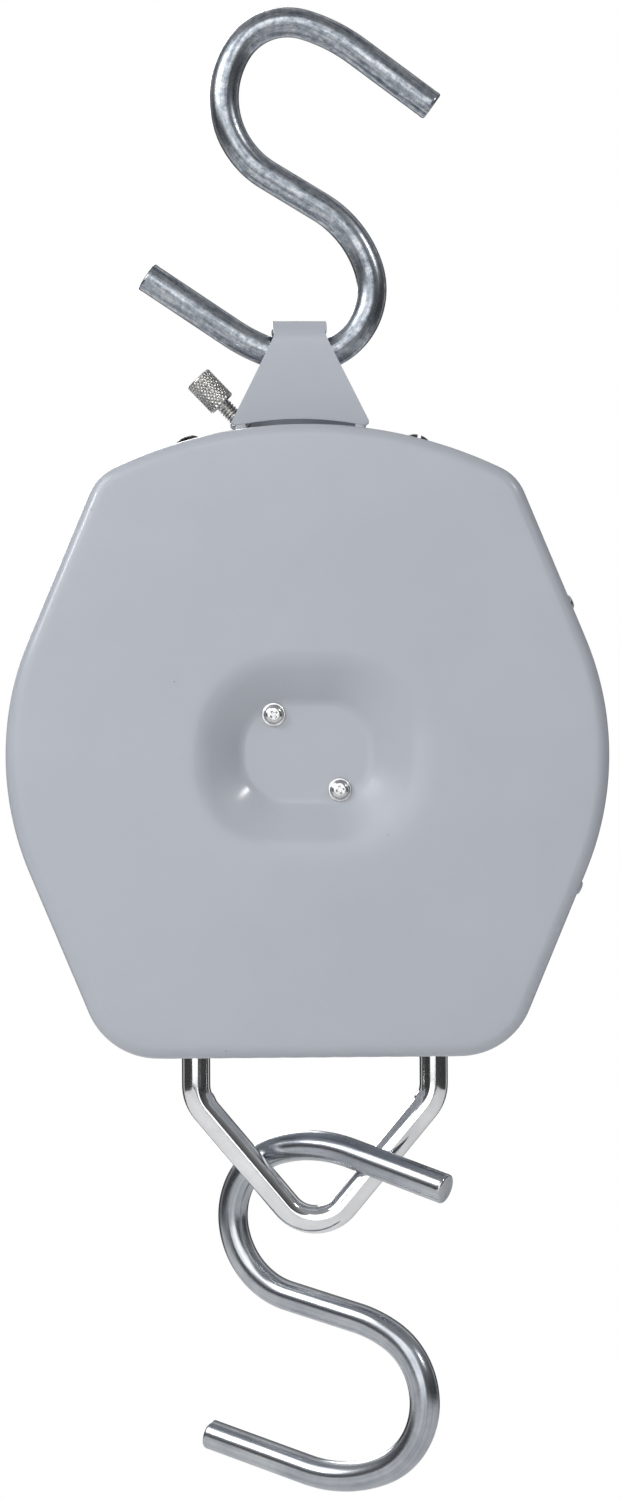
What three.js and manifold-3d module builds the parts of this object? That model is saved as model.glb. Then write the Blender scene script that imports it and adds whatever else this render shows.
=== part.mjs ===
// A hanging dial spring scale: S-hook, folded bracket, closed sheet-steel case, draw yoke and load hook.
// Millimetres, +Z up. The dial looks along -Y and the rear cover along +Y.
// The load passes down the plane Y = 0; the origin is the point of the top hook that rests on its support.
import * as THREE from "three";
import { mergeVertices } from "three/addons/utils/BufferGeometryUtils.js";
import Module from "manifold-3d";

const wasm = await Module();
wasm.setup();
const radians = THREE.MathUtils.degToRad;

// ---- driving dimensions -------------------------------------------------------------------------

const sheet = 1; // case and cover steel
const gap = 0.3; // between pieces that touch

// Case outline, about the dial's centre
const caseRadius = 115;
const sideLean = radians(22.7); // the straight sides lean in by this much above and below the round flanks
const topHeight = 126;
const topArcRadius = 172;
const topCornerRadius = 17.5;
const bottomCornerRadius = 28.5;

// Case depth
const rearY = 38;
const frontY = -42;
const coverDepth = 24;
const coverOverlap = 8;
const rearEdgeRadius = 5;
const frontEdgeRadius = 6;
const caseInset = sheet + gap; // the case slips inside the cover's skirt

// Dished recess of the cover
const recessDepth = 9;
const recessRim = { x: -1, z: -0.4, halfWidth: 43.2, halfHeight: 37.1, corner: 34 };
const recessFloor = { x: 0.5, z: 1.1, halfWidth: 24.8, halfHeight: 19, corner: 16 };

// Cover fasteners
const coverScrewOffset = { x: 12.6, z: 14.4 }; // from the middle of the recess floor, one each way
const coverScrew = { shank: 1.6, length: 9, flange: 4.5, flangeHeight: 0.8, head: 3.6, headHeight: 2 };
const coverPostRadius = 4;
const sideScrew = { shank: 1.5, length: 5, head: 3.2, headHeight: 2.6 };
const sideScrewHeights = { upper: 57.9, lower: -50.9 };
const sideScrewY = rearY - coverDepth + coverOverlap / 2;

// Dial side
const dialOpening = 99; // radius
const bezelWall = 1.5;
const bezelFlange = 5; // beyond the opening
const bezelStand = 3.5; // in front of the case
const bezelLip = 2.7; // over the lens
const lensThickness = 2.5;
const gasket = { width: 3.4, thickness: 1.5 };
const dialRing = { width: 2.4, depth: 5.6 };
const dialPlate = { radius: 101, thickness: 1, bore: 4.5 };
const dialScrew = { x: 24, shank: 1.3, head: 2.6, headHeight: 1.1 };

// Movement
const movementPlate = { halfWidth: 28, halfHeight: 34, corner: 5, thickness: 1.5 };
const dialPost = { radius: 3.2, length: 3.9 };
const pillar = { x: 14.5, z: 29, radius: 2.5 };
const chassisY = 17; // front face of the chassis plate
const chassisThickness = 1.5;
const arborRadius = 2.5;
const arborPlay = 0.1;
const bushWall = 2.1;
const bushStand = 1;
const pointerShort = 13; // of the dial opening
const pointerSize = { reach: dialOpening - pointerShort, tail: 26, hub: 7, thickness: 0.8 };
const pointerGap = 1.7; // behind the lens
const pointerCap = { radius: 5, height: 1.4 };

// Rack and pinion
const gearModule = 0.8;
const pinionTeeth = 16;
const pitchRadius = (gearModule * pinionTeeth) / 2;
const meshRelief = 0.2; // added to the centre distance
const rackThickness = 5;
const rackBack = 11; // x of its back
const yokeTravel = 38.5;

// Load train
const plateInnerY = 7; // inner faces of the bracket's two plates
const bracketSheet = 2.5;
const bracket = { top: 168.4, neck: 10.3, neckHeight: 162, foot: 26.8, footHeight: 127 };
const bracketArch = { rear: 130.6, front: 126.4 }; // lower edge of each plate, at its middle
const bracketX = 1.2; // the bracket stands this far to one side of the dial's centre
const tongue = { inner: 21, bottom: 94.5 };
const hanger = { halfWidth: 38, top: 101, bottom: 94 };
const hangerPin = { x: 23.5, radius: 1.6, head: 3, headHeight: 1.4, z: 98 };
const chassisHalfWidth = 50;
const topScrew = { x: 44, shank: 2.5, head: 5.5, headHeight: 4.5, slot: 1.4, slotDepth: 1.8 };
const nutHeight = 5;
const springX = 28.7;
const spring = { radius: 6, wire: 2, turns: 15 };
const springPlug = { radius: 4.6, length: 8, disc: 7, discHeight: 2, stud: 2 };
const crosshead = { top: -55, bottom: -60, halfWidth: 56, halfDepth: 8 };
const rackScrew = { x: 0, shank: 1.5, head: 2.8, headHeight: 2 };

// Draw yoke
const yokeWire = 11;
const yokeX = -3.8; // the yoke hangs this far to one side of the dial's centre
const legHalfSpan = 46.2;
const legStud = { radius: 4, top: -46 };
const kneeDrop = 18.1; // of the knees, below the case
const apexDrop = 73.4; // below the case, to where the slanted runs would meet
const kneeHeight = -(caseRadius + kneeDrop);
const yokeApex = -(caseRadius + apexDrop);
const kneeRadius = 15;
const apexRadius = 14.5;
const legPlay = 0.4;
const yokeNut = { across: 12.6, height: 6 };
const bushFlange = { radius: 9, height: 1.2 };

// S-hooks: half of the straight diagonal, its slope, and for each half its bends [radius, degrees] and arm
const hookWire = 11.6;
const topHook = {
  middle: { x: 2.9, z: 218.9 },
  slope: radians(31.1),
  diagonal: 11.8,
  eye: { bends: [[35, 91.3], [23.1, 74.3], [66.2, 19.7]], arm: 36.2 },
  seat: { bends: [[43.1, 40.4], [27.2, 122.9], [67.2, 19.3]], arm: 39.7 },
};
const hookDrop = 25.8; // of the lower hook's middle, below the yoke's apex
const lowerHook = {
  middle: { x: -6.7, z: yokeApex - hookDrop },
  slope: radians(12.9),
  diagonal: 15.5,
  eye: { bends: [[31.7, 66.3], [27.8, 85.3], [57.6, 32.1]], arm: 42.5 },
  seat: { bends: [[50.2, 18.1], [29.1, 126.4], [52.9, 36.6]], arm: 44.7 },
};
const lowerHookTurn = { x: -4.5, yaw: radians(31) }; // about an upright line, to thread the yoke's loop

// Zero-adjusting screw, inclined between the bracket's plates
const zeroSlope = radians(46.2);
const zeroHeadEnd = { x: 31, z: 136.2 }; // inner end of the knurled head, on the screw's axis
const zeroHead = { radius: 5.2, length: 13.7, chamfer: 0.9 };
const zeroNeck = { radius: 2.3, length: 2 };
const zeroThread = { radius: 3.1, length: 28 };
const zeroPad = { radius: 4, thickness: 2.7 };
const zeroBoss = { halfDepth: 5.5, depthAlong: 25, halfWidth: 5.5 };
const zeroRamp = { halfDepth: 5, reach: 5, back: -3 };

// ---- finishes -----------------------------------------------------------------------------------

const finish = (color, metalness, roughness) =>
  new THREE.MeshStandardMaterial({ color, metalness, roughness });
const greyPaint = finish(0xaeb3bc, 0.1, 0.42);
const zincPlate = finish(0x9aa3ad, 1, 0.38);
const brightZinc = finish(0xb9bcc0, 1, 0.28);
const chrome = finish(0xd8dadd, 1, 0.08);
const nickel = finish(0xc9c5ba, 1, 0.25);
const blackSteel = finish(0x1c1c1e, 0.8, 0.4);
const plainSteel = finish(0x8b8f94, 1, 0.45);
const brass = finish(0xc19a4b, 1, 0.3);
const springSteel = finish(0x55585c, 1, 0.35);
const whiteDial = finish(0xf4f3ee, 0, 0.5);
const redPaint = finish(0xb3201c, 0, 0.4);
const clearLens = finish(0xf2f6f7, 0, 0.05);
const blackRubber = finish(0x191919, 0, 0.8);
const whitePlastic = finish(0xe6e5df, 0, 0.5);

// ---- solids -------------------------------------------------------------------------------------

function toSolid(geometry) {
  const bare = geometry.index ? geometry.toNonIndexed() : geometry.clone();
  bare.deleteAttribute("normal");
  bare.deleteAttribute("uv");
  const merged = mergeVertices(bare, 1e-4);
  return new wasm.Manifold(
    new wasm.Mesh({
      numProp: 3,
      vertProperties: merged.attributes.position.array,
      triVerts: new Uint32Array(merged.index.array),
    }),
  );
}

function toGeometry(solid) {
  const mesh = solid.getMesh();
  const geometry = new THREE.BufferGeometry();
  geometry.setAttribute("position", new THREE.BufferAttribute(mesh.vertProperties, mesh.numProp));
  geometry.setIndex(new THREE.BufferAttribute(mesh.triVerts, 1));
  geometry.computeVertexNormals();
  return geometry;
}

function cut(geometry, ...tools) {
  const solid = tools.reduce((body, tool) => body.subtract(toSolid(tool)), toSolid(geometry));
  return toGeometry(solid);
}

function join(geometry, ...others) {
  const solid = others.reduce((body, other) => body.add(toSolid(other)), toSolid(geometry));
  return toGeometry(solid);
}

// A turned piece about the Y axis; the profile is a list of [radius, y], closed on itself or on the axis.
function turned(profile, segments = 24) {
  const points = profile.map(([radius, y]) => new THREE.Vector2(radius, y));
  if (THREE.ShapeUtils.area(points) < 0) points.reverse();
  const closed = profile.every(([radius]) => radius > 0);
  if (closed) points.push(points[0].clone());
  return new THREE.LatheGeometry(points, segments);
}

const ring = (inner, outer, y0, y1, segments) =>
  turned([[inner, y0], [outer, y0], [outer, y1], [inner, y1]], segments);
const disc = (radius, y0, y1, segments) =>
  turned([[0, y0], [radius, y0], [radius, y1], [0, y1]], segments);

const upright = (geometry) => geometry.rotateX(Math.PI / 2); // its +Y becomes +Z
const at = (geometry, x, y, z) => geometry.translate(x, y, z);

function box(x0, x1, y0, y1, z0, z1) {
  const geometry = new THREE.BoxGeometry(x1 - x0, y1 - y0, z1 - z0);
  return at(geometry, (x0 + x1) / 2, (y0 + y1) / 2, (z0 + z1) / 2);
}

// A flat piece drawn in the XZ plane, between two values of y.
function plate(shape, y0, y1) {
  const geometry = new THREE.ExtrudeGeometry(shape, { depth: y1 - y0, bevelEnabled: false });
  return at(geometry.rotateX(Math.PI / 2), 0, y1, 0);
}

const polygon = (points) => new THREE.Shape(points.map(([x, z]) => new THREE.Vector2(x, z)));

function circle(radius, segments, x = 0, z = 0) {
  const points = [];
  for (let i = 0; i < segments; i++) {
    const angle = (2 * Math.PI * i) / segments;
    points.push([x + radius * Math.cos(angle), z + radius * Math.sin(angle)]);
  }
  return points;
}

const withHoles = (shape, holes) => {
  shape.holes = holes.map((points) => new THREE.Path(points.map(([x, z]) => new THREE.Vector2(x, z))));
  return shape;
};

// Points of a rounded rectangle, the same number whatever its size.
function roundedRectangle({ x = 0, z = 0, halfWidth, halfHeight, corner }, perCorner = 8) {
  const points = [];
  for (let quarter = 0; quarter < 4; quarter++) {
    const sx = quarter === 0 || quarter === 3 ? 1 : -1;
    const sz = quarter < 2 ? 1 : -1;
    for (let i = 0; i <= perCorner; i++) {
      const angle = (Math.PI / 2) * (quarter + i / perCorner);
      const px = x + sx * (halfWidth - corner) + corner * Math.cos(angle);
      points.push([px, z + sz * (halfHeight - corner) + corner * Math.sin(angle)]);
    }
  }
  return points;
}

// A closed skin through outlines of equal length, each [points, y], with a flat cap at both ends.
function loft(rings) {
  const count = rings[0][0].length;
  const positions = rings.flatMap(([points, y]) => points.flatMap(([x, z]) => [x, y, z]));
  const index = [];
  for (let r = 0; r + 1 < rings.length; r++) {
    for (let i = 0; i < count; i++) {
      const a = r * count + i;
      const b = r * count + ((i + 1) % count);
      index.push(a, b, a + count, b, b + count, a + count);
    }
  }
  const capOf = (points) =>
    THREE.ShapeUtils.triangulateShape(points.map(([x, z]) => new THREE.Vector2(x, z)), []);
  const last = (rings.length - 1) * count;
  for (const [a, b, c] of capOf(rings[0][0])) index.push(a, c, b);
  for (const [a, b, c] of capOf(rings.at(-1)[0])) index.push(last + a, last + b, last + c);
  if (rings[0][1] < rings.at(-1)[1]) {
    for (let i = 0; i < index.length; i += 3) [index[i + 1], index[i + 2]] = [index[i + 2], index[i + 1]];
  }
  const geometry = new THREE.BufferGeometry();
  geometry.setAttribute("position", new THREE.Float32BufferAttribute(positions, 3));
  geometry.setIndex(index);
  return geometry;
}

// Points along straight runs { length } and bends { radius, turn } in the XZ plane.
function wirePoints(start, heading, runs, step = 3) {
  const points = [start.clone()];
  const here = start.clone();
  let angle = heading;
  for (const { length = 0, radius = 0, turn = 0 } of runs) {
    const steps = Math.max(2, Math.ceil((length + radius * Math.abs(turn)) / step));
    for (let i = 0; i < steps; i++) {
      const chord = turn ? 2 * radius * Math.sin(Math.abs(turn) / steps / 2) : length / steps;
      angle += turn / steps / 2;
      here.add(new THREE.Vector3(Math.cos(angle), 0, Math.sin(angle)).multiplyScalar(chord));
      angle += turn / steps / 2;
      points.push(here.clone());
    }
  }
  return points;
}

function wire(points, diameter, steps, sides) {
  const section = polygon(circle(diameter / 2, sides));
  const extrudePath = new THREE.CatmullRomCurve3(points, false, "centripetal");
  return new THREE.ExtrudeGeometry(section, { steps, extrudePath, bevelEnabled: false });
}

function hexNut(across, bore, z0, z1) {
  const corners = circle(across / Math.sqrt(3), 6);
  const shape = withHoles(polygon(corners), [circle(bore, 20)]);
  return at(new THREE.ExtrudeGeometry(shape, { depth: z1 - z0, bevelEnabled: false }), 0, 0, z0);
}

// ---- case outline -------------------------------------------------------------------------------

const topArcCentre = topHeight - topArcRadius;
const onArc = (x, z, radius, angle) => [x + radius * Math.cos(angle), z + radius * Math.sin(angle)];

// Half width over height of the case's outline, moved inwards by an inset.
function caseOutline(inset) {
  const radius = caseRadius - inset;
  const bottomCorner = bottomCornerRadius - inset;
  const topCorner = topCornerRadius - inset;
  const topRadius = topArcRadius - inset;
  const bottomSpan = Math.PI / 2 - sideLean; // angle between the bottom's and the side's normals
  const bottomOut = (radius - bottomCorner) / Math.cos(bottomSpan / 2);
  const bottomCentre = onArc(0, 0, bottomOut, -Math.PI / 2 + bottomSpan / 2);
  const sideNormal = [Math.cos(sideLean), Math.sin(sideLean)];
  const foot = [sideNormal[0] * (radius - topCorner), sideNormal[1] * (radius - topCorner)];
  const along = -foot[0] * sideNormal[1] + (foot[1] - topArcCentre) * sideNormal[0];
  const across = foot[0] ** 2 + (foot[1] - topArcCentre) ** 2 - (topRadius - topCorner) ** 2;
  const up = -along + Math.sqrt(along ** 2 - across);
  const topCentre = [foot[0] - up * sideNormal[1], foot[1] + up * sideNormal[0]];
  const topStart = Math.atan2(topCentre[1] - topArcCentre, topCentre[0]);
  const arcs = [
    [bottomCentre, bottomCorner, -Math.PI / 2, -sideLean, 7],
    [[0, 0], radius, -sideLean, sideLean, 8],
    [topCentre, topCorner, sideLean, topStart, 5],
    [[0, topArcCentre], topRadius, topStart, Math.PI / 2, 6],
  ];
  const half = [];
  arcs.forEach(([[x, z], r, from, to, steps], n) => {
    const first = n === 3 ? 1 : 0;
    for (let i = first; i <= steps; i++) half.push(onArc(x, z, r, from + ((to - from) * i) / steps));
  });
  const mirrored = half.slice(0, -1).reverse();
  return [...half, ...mirrored.map(([x, z]) => [-x, z])];
}

// Outline rings that round an edge of the given radius, from the flat face towards the walls.
function roundedEdge(faceY, edgeRadius, inset, towards, steps = 4) {
  const rings = [];
  for (let i = 0; i <= steps; i++) {
    const angle = (Math.PI / 2) * (i / steps);
    const drop = edgeRadius * (1 - Math.cos(angle));
    rings.push([caseOutline(inset + edgeRadius * (1 - Math.sin(angle))), faceY + towards * drop]);
  }
  return rings;
}

function openShell(faceY, openY, edgeRadius, inset) {
  const towards = Math.sign(openY - faceY);
  const beyond = openY + towards;
  const outside = [...roundedEdge(faceY, edgeRadius, inset, towards), [caseOutline(inset), openY]];
  const innerFace = faceY + towards * sheet;
  const innerEdge = edgeRadius - sheet;
  const inside = roundedEdge(innerFace, innerEdge, inset + sheet, towards);
  return cut(loft(outside), loft([...inside, [caseOutline(inset + sheet), beyond]]));
}

const topOuterZ = (x, inset) => topArcCentre + Math.sqrt((topArcRadius - inset) ** 2 - x ** 2);
const flangeInset = caseInset + sheet + gap; // of the chassis flange that lies along the top wall

// ---- places shared between pieces ---------------------------------------------------------------

const coverScrewPlaces = {
  upper: [recessFloor.x + coverScrewOffset.x, recessFloor.z + coverScrewOffset.z],
  lower: [recessFloor.x - coverScrewOffset.x, recessFloor.z - coverScrewOffset.z],
};
const legXs = { left: yokeX - legHalfSpan, right: yokeX + legHalfSpan };
const sides = { left: -1, right: 1 };
const plateOuterY = plateInnerY + bracketSheet;
const legHole = yokeWire / 2 + legPlay;
const bushTube = legHole + 1.2;
const zeroIn = new THREE.Vector3(-Math.cos(zeroSlope), 0, -Math.sin(zeroSlope));
const shankHole = (radius) => radius + gap;

// A frame on the flank at a height z of the outline: its +Y looks out of the wall, square to it.
function flankFrame(z, inset) {
  const radius = caseRadius - inset;
  const lean = Math.sign(z) * sideLean;
  const along = (z - radius * Math.sin(lean)) / Math.cos(lean);
  const x = -(radius * Math.cos(lean) - along * Math.sin(lean));
  const frame = new THREE.Group();
  frame.position.set(x, sideScrewY, z);
  const outward = new THREE.Vector3(-Math.cos(lean), 0, Math.sin(lean));
  frame.quaternion.setFromUnitVectors(new THREE.Vector3(0, 1, 0), outward);
  frame.updateMatrix();
  return frame;
}

const flankHole = (z) => disc(shankHole(sideScrew.shank), -6, 6, 12).applyMatrix4(flankFrame(z, 0).matrix);

function zeroFrame(distance) {
  const frame = new THREE.Group();
  frame.position.set(zeroHeadEnd.x, 0, zeroHeadEnd.z).addScaledVector(zeroIn, distance);
  frame.quaternion.setFromUnitVectors(new THREE.Vector3(0, 1, 0), zeroIn);
  frame.updateMatrix();
  return frame;
}

const zeroBore = (radius) => disc(radius, 6, 40, 16).applyMatrix4(zeroFrame(0).matrix);

// ---- scene --------------------------------------------------------------------------------------

const scale = new THREE.Group(); // about the dial's centre

function add(name, geometry, material, parent = scale) {
  const mesh = new THREE.Mesh(geometry, material);
  mesh.name = name;
  parent.add(mesh);
  return mesh;
}

// S-hook in its own XZ plane, about the middle of its diagonal
function hookPath({ slope, diagonal, eye, seat }) {
  const half = ({ bends, arm }, heading) => {
    const turns = bends.map(([radius, degrees]) => ({ radius, turn: radians(degrees) }));
    return wirePoints(new THREE.Vector3(), heading, [{ length: diagonal }, ...turns, { length: arm }]);
  };
  const eyeHalf = half(eye, slope);
  const seatHalf = half(seat, slope + Math.PI);
  return [...eyeHalf.reverse(), ...seatHalf.slice(1)];
}

const hookSolid = (hook) => wire(hookPath(hook), hookWire, 62, 12);

// Top hook
const topHookMesh = add("top_hook", hookSolid(topHook), zincPlate);
topHookMesh.position.set(topHook.middle.x, 0, topHook.middle.z);

// Suspension bracket: one strap folded over the hook, with two tongues on each plate
function bracketFace(side) {
  const { top, neck, neckHeight, foot, footHeight } = bracket;
  const arch = side > 0 ? bracketArch.rear : bracketArch.front;
  const foldStart = top - plateOuterY;
  const edge = footHeight + 1.5;
  const archXs = [-1, -0.66, -0.33, 0, 0.33, 0.66, 1].map((t) => t * tongue.inner);
  const bottom = archXs.map((x) => [x, arch - (arch - footHeight) * (x / foot) ** 2]);
  const tongues = [
    [-foot, edge], [-foot, tongue.bottom], [-tongue.inner, tongue.bottom], ...bottom,
    [tongue.inner, tongue.bottom], [foot, tongue.bottom], [foot, edge],
  ];
  const outline = [[neck, neckHeight], [neck, foldStart], [-neck, foldStart], [-neck, neckHeight]];
  const y0 = side > 0 ? plateInnerY : -plateOuterY;
  return plate(polygon([...tongues, ...outline]), y0, y0 + bracketSheet);
}

function bracketFold() {
  const height = bracket.top - plateOuterY;
  const arc = (radius, from, to) =>
    Array.from({ length: 13 }, (_, i) => onArc(0, 0, radius, from + ((to - from) * i) / 12));
  const section = polygon([...arc(plateOuterY, 0, Math.PI), ...arc(plateInnerY, Math.PI, 0)]);
  const geometry = new THREE.ExtrudeGeometry(section, { depth: 2 * bracket.neck, bevelEnabled: false });
  return at(geometry.rotateX(Math.PI / 2).rotateZ(Math.PI / 2), -bracket.neck, 0, height);
}

// Case and cover
const tongueSlot = (side, face) => {
  const xs = [side * (tongue.inner - 2 * gap), side * (bracket.foot + 2 * gap)].sort((a, b) => a - b);
  const ys = [face * (plateInnerY - gap), face * (plateOuterY + gap)].sort((a, b) => a - b);
  return at(box(...xs, ...ys, hanger.top, topHeight + 2), bracketX, 0, 0);
};
const tongueSlots = [1, -1].flatMap((side) => [1, -1].map((face) => tongueSlot(side, face)));
const topScrewLean = Math.asin(topScrew.x / (topArcRadius - caseInset));
const alongTopArc = (geometry, side) => at(geometry.rotateY(side * topScrewLean), 0, 0, topArcCentre);
const topScrewHole = (side) =>
  alongTopArc(upright(disc(shankHole(topScrew.shank), topArcRadius - 20, topArcRadius + 2, 16)), side);
const topScrewHoles = Object.values(sides).map(topScrewHole);
const legHoles = Object.values(legXs).map((x) => at(upright(disc(bushTube + gap, -130, -100, 24)), x, 0, 0));

add(
  "front_case",
  cut(
    openShell(frontY, rearY - coverDepth + coverOverlap, frontEdgeRadius, caseInset),
    disc(dialOpening, frontY - 1, frontY + 2 * sheet, 72),
    ...tongueSlots,
    ...topScrewHoles,
    ...legHoles,
    zeroBore(zeroThread.radius + 2 * gap),
    ...Object.values(sideScrewHeights).map(flankHole),
  ),
  greyPaint,
);

function coverShell() {
  const floorY = rearY - recessDepth;
  const grown = (shape, by) => ({
    ...shape,
    halfWidth: shape.halfWidth + by,
    halfHeight: shape.halfHeight + by,
    corner: shape.corner + by,
  });
  const dish = loft([
    [roundedRectangle(grown(recessRim, sheet)), rearY - sheet / 2],
    [roundedRectangle(grown(recessFloor, sheet)), floorY - sheet],
  ]);
  const hollow = loft([
    [roundedRectangle(recessRim), rearY],
    [roundedRectangle(recessFloor), floorY],
  ]);
  const above = loft([
    [roundedRectangle(recessRim), rearY + 1],
    [roundedRectangle(recessRim), rearY - 1e-3],
  ]);
  const holes = Object.values(coverScrewPlaces).map(([x, z]) =>
    at(disc(shankHole(coverScrew.shank), floorY - 4, floorY + 4, 14), x, 0, z),
  );
  const shell = openShell(rearY, rearY - coverDepth, rearEdgeRadius, 0);
  return cut(join(shell, dish), above, hollow, ...holes, ...Object.values(sideScrewHeights).map(flankHole));
}

add("rear_cover", coverShell(), greyPaint);

// Cover screws, in the recess, and the posts they pull against
const coverFloorY = rearY - recessDepth;
for (const [place, [x, z]] of Object.entries(coverScrewPlaces)) {
  const { shank, length, flange, flangeHeight, head, headHeight } = coverScrew;
  const seat = coverFloorY + gap;
  const headSeat = seat + flangeHeight;
  const profile = [
    [0, coverFloorY - length], [shank, coverFloorY - length], [shank, seat], [flange, seat],
    [flange, headSeat], [head, headSeat], [head, headSeat + headHeight * 0.6],
    [head * 0.6, headSeat + headHeight], [0, headSeat + headHeight],
  ];
  add("cover_screw_" + place, at(turned(profile, 20), x, 0, z), brightZinc);
  const postFoot = chassisY + chassisThickness + gap;
  const post = ring(shankHole(shank), coverPostRadius, postFoot, coverFloorY - sheet - gap, 16);
  add("cover_post_" + place, at(post, x, 0, z), plainSteel);
}

// Side screws through the cover's skirt
for (const [place, z] of Object.entries(sideScrewHeights)) {
  const { shank, length, head, headHeight } = sideScrew;
  const profile = [
    [0, -length], [shank, -length], [shank, gap], [head, gap], [head, gap + headHeight * 0.5],
    [head * 0.7, gap + headHeight * 0.9], [0, gap + headHeight],
  ];
  const frame = flankFrame(z, 0);
  scale.add(frame);
  add("side_screw_" + place, turned(profile, 16), brightZinc, frame);
}

// Dial side, from the front inwards
const bezelTube = dialOpening - gap;
const bezelBore = bezelTube - bezelWall;
const bezelFront = frontY - bezelStand;
const lensFront = bezelFront + 1.2 + gap;
const lensRear = lensFront + lensThickness;
const gasketRear = lensRear + gap + gasket.thickness;
const dialRingRear = gasketRear + gap + dialRing.depth;
const dialFront = dialRingRear + gap;
const dialRear = dialFront + dialPlate.thickness;
const movementFront = dialRear + gap + dialPost.length + gap;
const movementRear = movementFront + movementPlate.thickness;

const bezelProfile = [
  [bezelBore - bezelLip, bezelFront], [dialOpening + bezelFlange - 2, bezelFront],
  [dialOpening + bezelFlange, bezelFront + 1.7], [dialOpening + bezelFlange, frontY - gap],
  [bezelTube, frontY - gap], [bezelTube, dialRingRear - 2], [bezelBore, dialRingRear - 2],
  [bezelBore, lensFront - gap], [bezelBore - bezelLip, lensFront - gap],
];
add("bezel", turned(bezelProfile, 72), chrome);
const lensRadius = bezelBore - gap;
add("lens", disc(lensRadius, lensFront, lensRear, 72), clearLens);
add("lens_gasket", ring(lensRadius - gasket.width, lensRadius, lensRear + gap, gasketRear, 60), blackRubber);
const dialRingBody = ring(lensRadius - dialRing.width, lensRadius, gasketRear + gap, dialRingRear, 60);
add("dial_ring", dialRingBody, whitePlastic);

const dialHoles = Object.values(sides).map((side) => circle(dialScrew.shank + gap, 12, side * dialScrew.x));
const dialOutline = polygon(circle(dialPlate.radius, 72));
const dialShape = withHoles(dialOutline, [circle(dialPlate.bore, 20), ...dialHoles]);
add("dial_plate", plate(dialShape, dialFront, dialRear), whiteDial);

for (const [name, side] of Object.entries(sides)) {
  const { x, shank, head, headHeight } = dialScrew;
  const under = dialFront - gap;
  const profile = [
    [0, under - headHeight], [head * 0.8, under - headHeight], [head, under - headHeight * 0.5],
    [head, under], [shank, under], [shank, dialRear + dialPost.length], [0, dialRear + dialPost.length],
  ];
  add("dial_screw_" + name, at(turned(profile, 14), side * x, 0, 0), brightZinc);
  const post = ring(shank + gap, dialPost.radius, dialRear + gap, movementFront - gap, 14);
  add("dial_post_" + name, at(post, side * x, 0, 0), brass);
}

// Movement
const bushRadius = arborRadius + arborPlay + bushWall;
const bushHole = circle(bushRadius + gap, 24);
const frontPlateShape = withHoles(polygon(roundedRectangle(movementPlate, 4)), [bushHole]);
add("movement_front_plate", plate(frontPlateShape, movementFront, movementRear), brass);

for (const [name, side] of Object.entries(sides)) {
  for (const [level, up] of [["lower", -1], ["upper", 1]]) {
    const post = disc(pillar.radius, movementRear + gap, chassisY - gap, 12);
    add("pillar_" + level + "_" + name, at(post, side * pillar.x, 0, up * pillar.z), brass);
  }
}

const bushes = { front: [movementFront, movementRear], rear: [chassisY, chassisY + chassisThickness] };
for (const [name, [y0, y1]] of Object.entries(bushes)) {
  const bush = ring(arborRadius + arborPlay, bushRadius, y0 - bushStand, y1 + bushStand, 24);
  add("arbor_bush_" + name, bush, brass);
}

function gearShape(teeth, size) {
  const points = [];
  const radius = (size * teeth) / 2;
  const spots = [[radius - 1.25 * size, 7.4], [radius, 4.6], [radius + 0.9 * size, 2.2]];
  for (let tooth = 0; tooth < teeth; tooth++) {
    const middle = (2 * Math.PI * tooth) / teeth;
    const flank = spots.map(([r, degrees]) => [r, radians(degrees)]);
    for (const [r, half] of flank) points.push(onArc(0, 0, r, middle - half));
    for (const [r, half] of flank.reverse()) points.push(onArc(0, 0, r, middle + half));
  }
  return polygon(points);
}

const pointerRear = lensRear + pointerGap + pointerCap.height + gap + pointerSize.thickness;
const arborTip = pointerRear - gap / 2;
const pinionHalf = rackThickness / 2 + 1;
const arbor = disc(arborRadius, pointerRear + gap, chassisY + chassisThickness + bushStand + 1, 24);
const arborNose = disc(arborRadius * 0.6, pointerRear - pointerSize.thickness - 0.5, pointerRear + 1, 16);
const pinion = plate(gearShape(pinionTeeth, gearModule), -pinionHalf, pinionHalf);
add("pinion_arbor", join(arbor, arborNose, pinion), brass);

function pointerShape() {
  const { reach, tail, hub } = pointerSize;
  const neck = 1.6;
  const arc = Array.from({ length: 9 }, (_, i) => onArc(0, 0, hub, radians(-66 + i * 16.5)));
  const right = [[4, -tail], [3, -hub], ...arc, [neck + 0.6, hub + 2], [neck, reach - 12], [0.4, reach]];
  const left = [...right].reverse().map(([x, z]) => [-x, z]);
  return withHoles(polygon([...right, ...left]), [circle(arborRadius * 0.6 + gap, 16)]);
}
add("pointer", plate(pointerShape(), pointerRear - pointerSize.thickness, pointerRear), redPaint);
const capRear = pointerRear - pointerSize.thickness - 0.5 - gap;
const capProfile = [
  [0, capRear], [pointerCap.radius, capRear], [pointerCap.radius, capRear - pointerCap.height * 0.4],
  [pointerCap.radius * 0.6, capRear - pointerCap.height * 0.8], [0, capRear - pointerCap.height * 0.8],
];
add("pointer_cap", turned(capProfile, 24), nickel);

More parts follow.
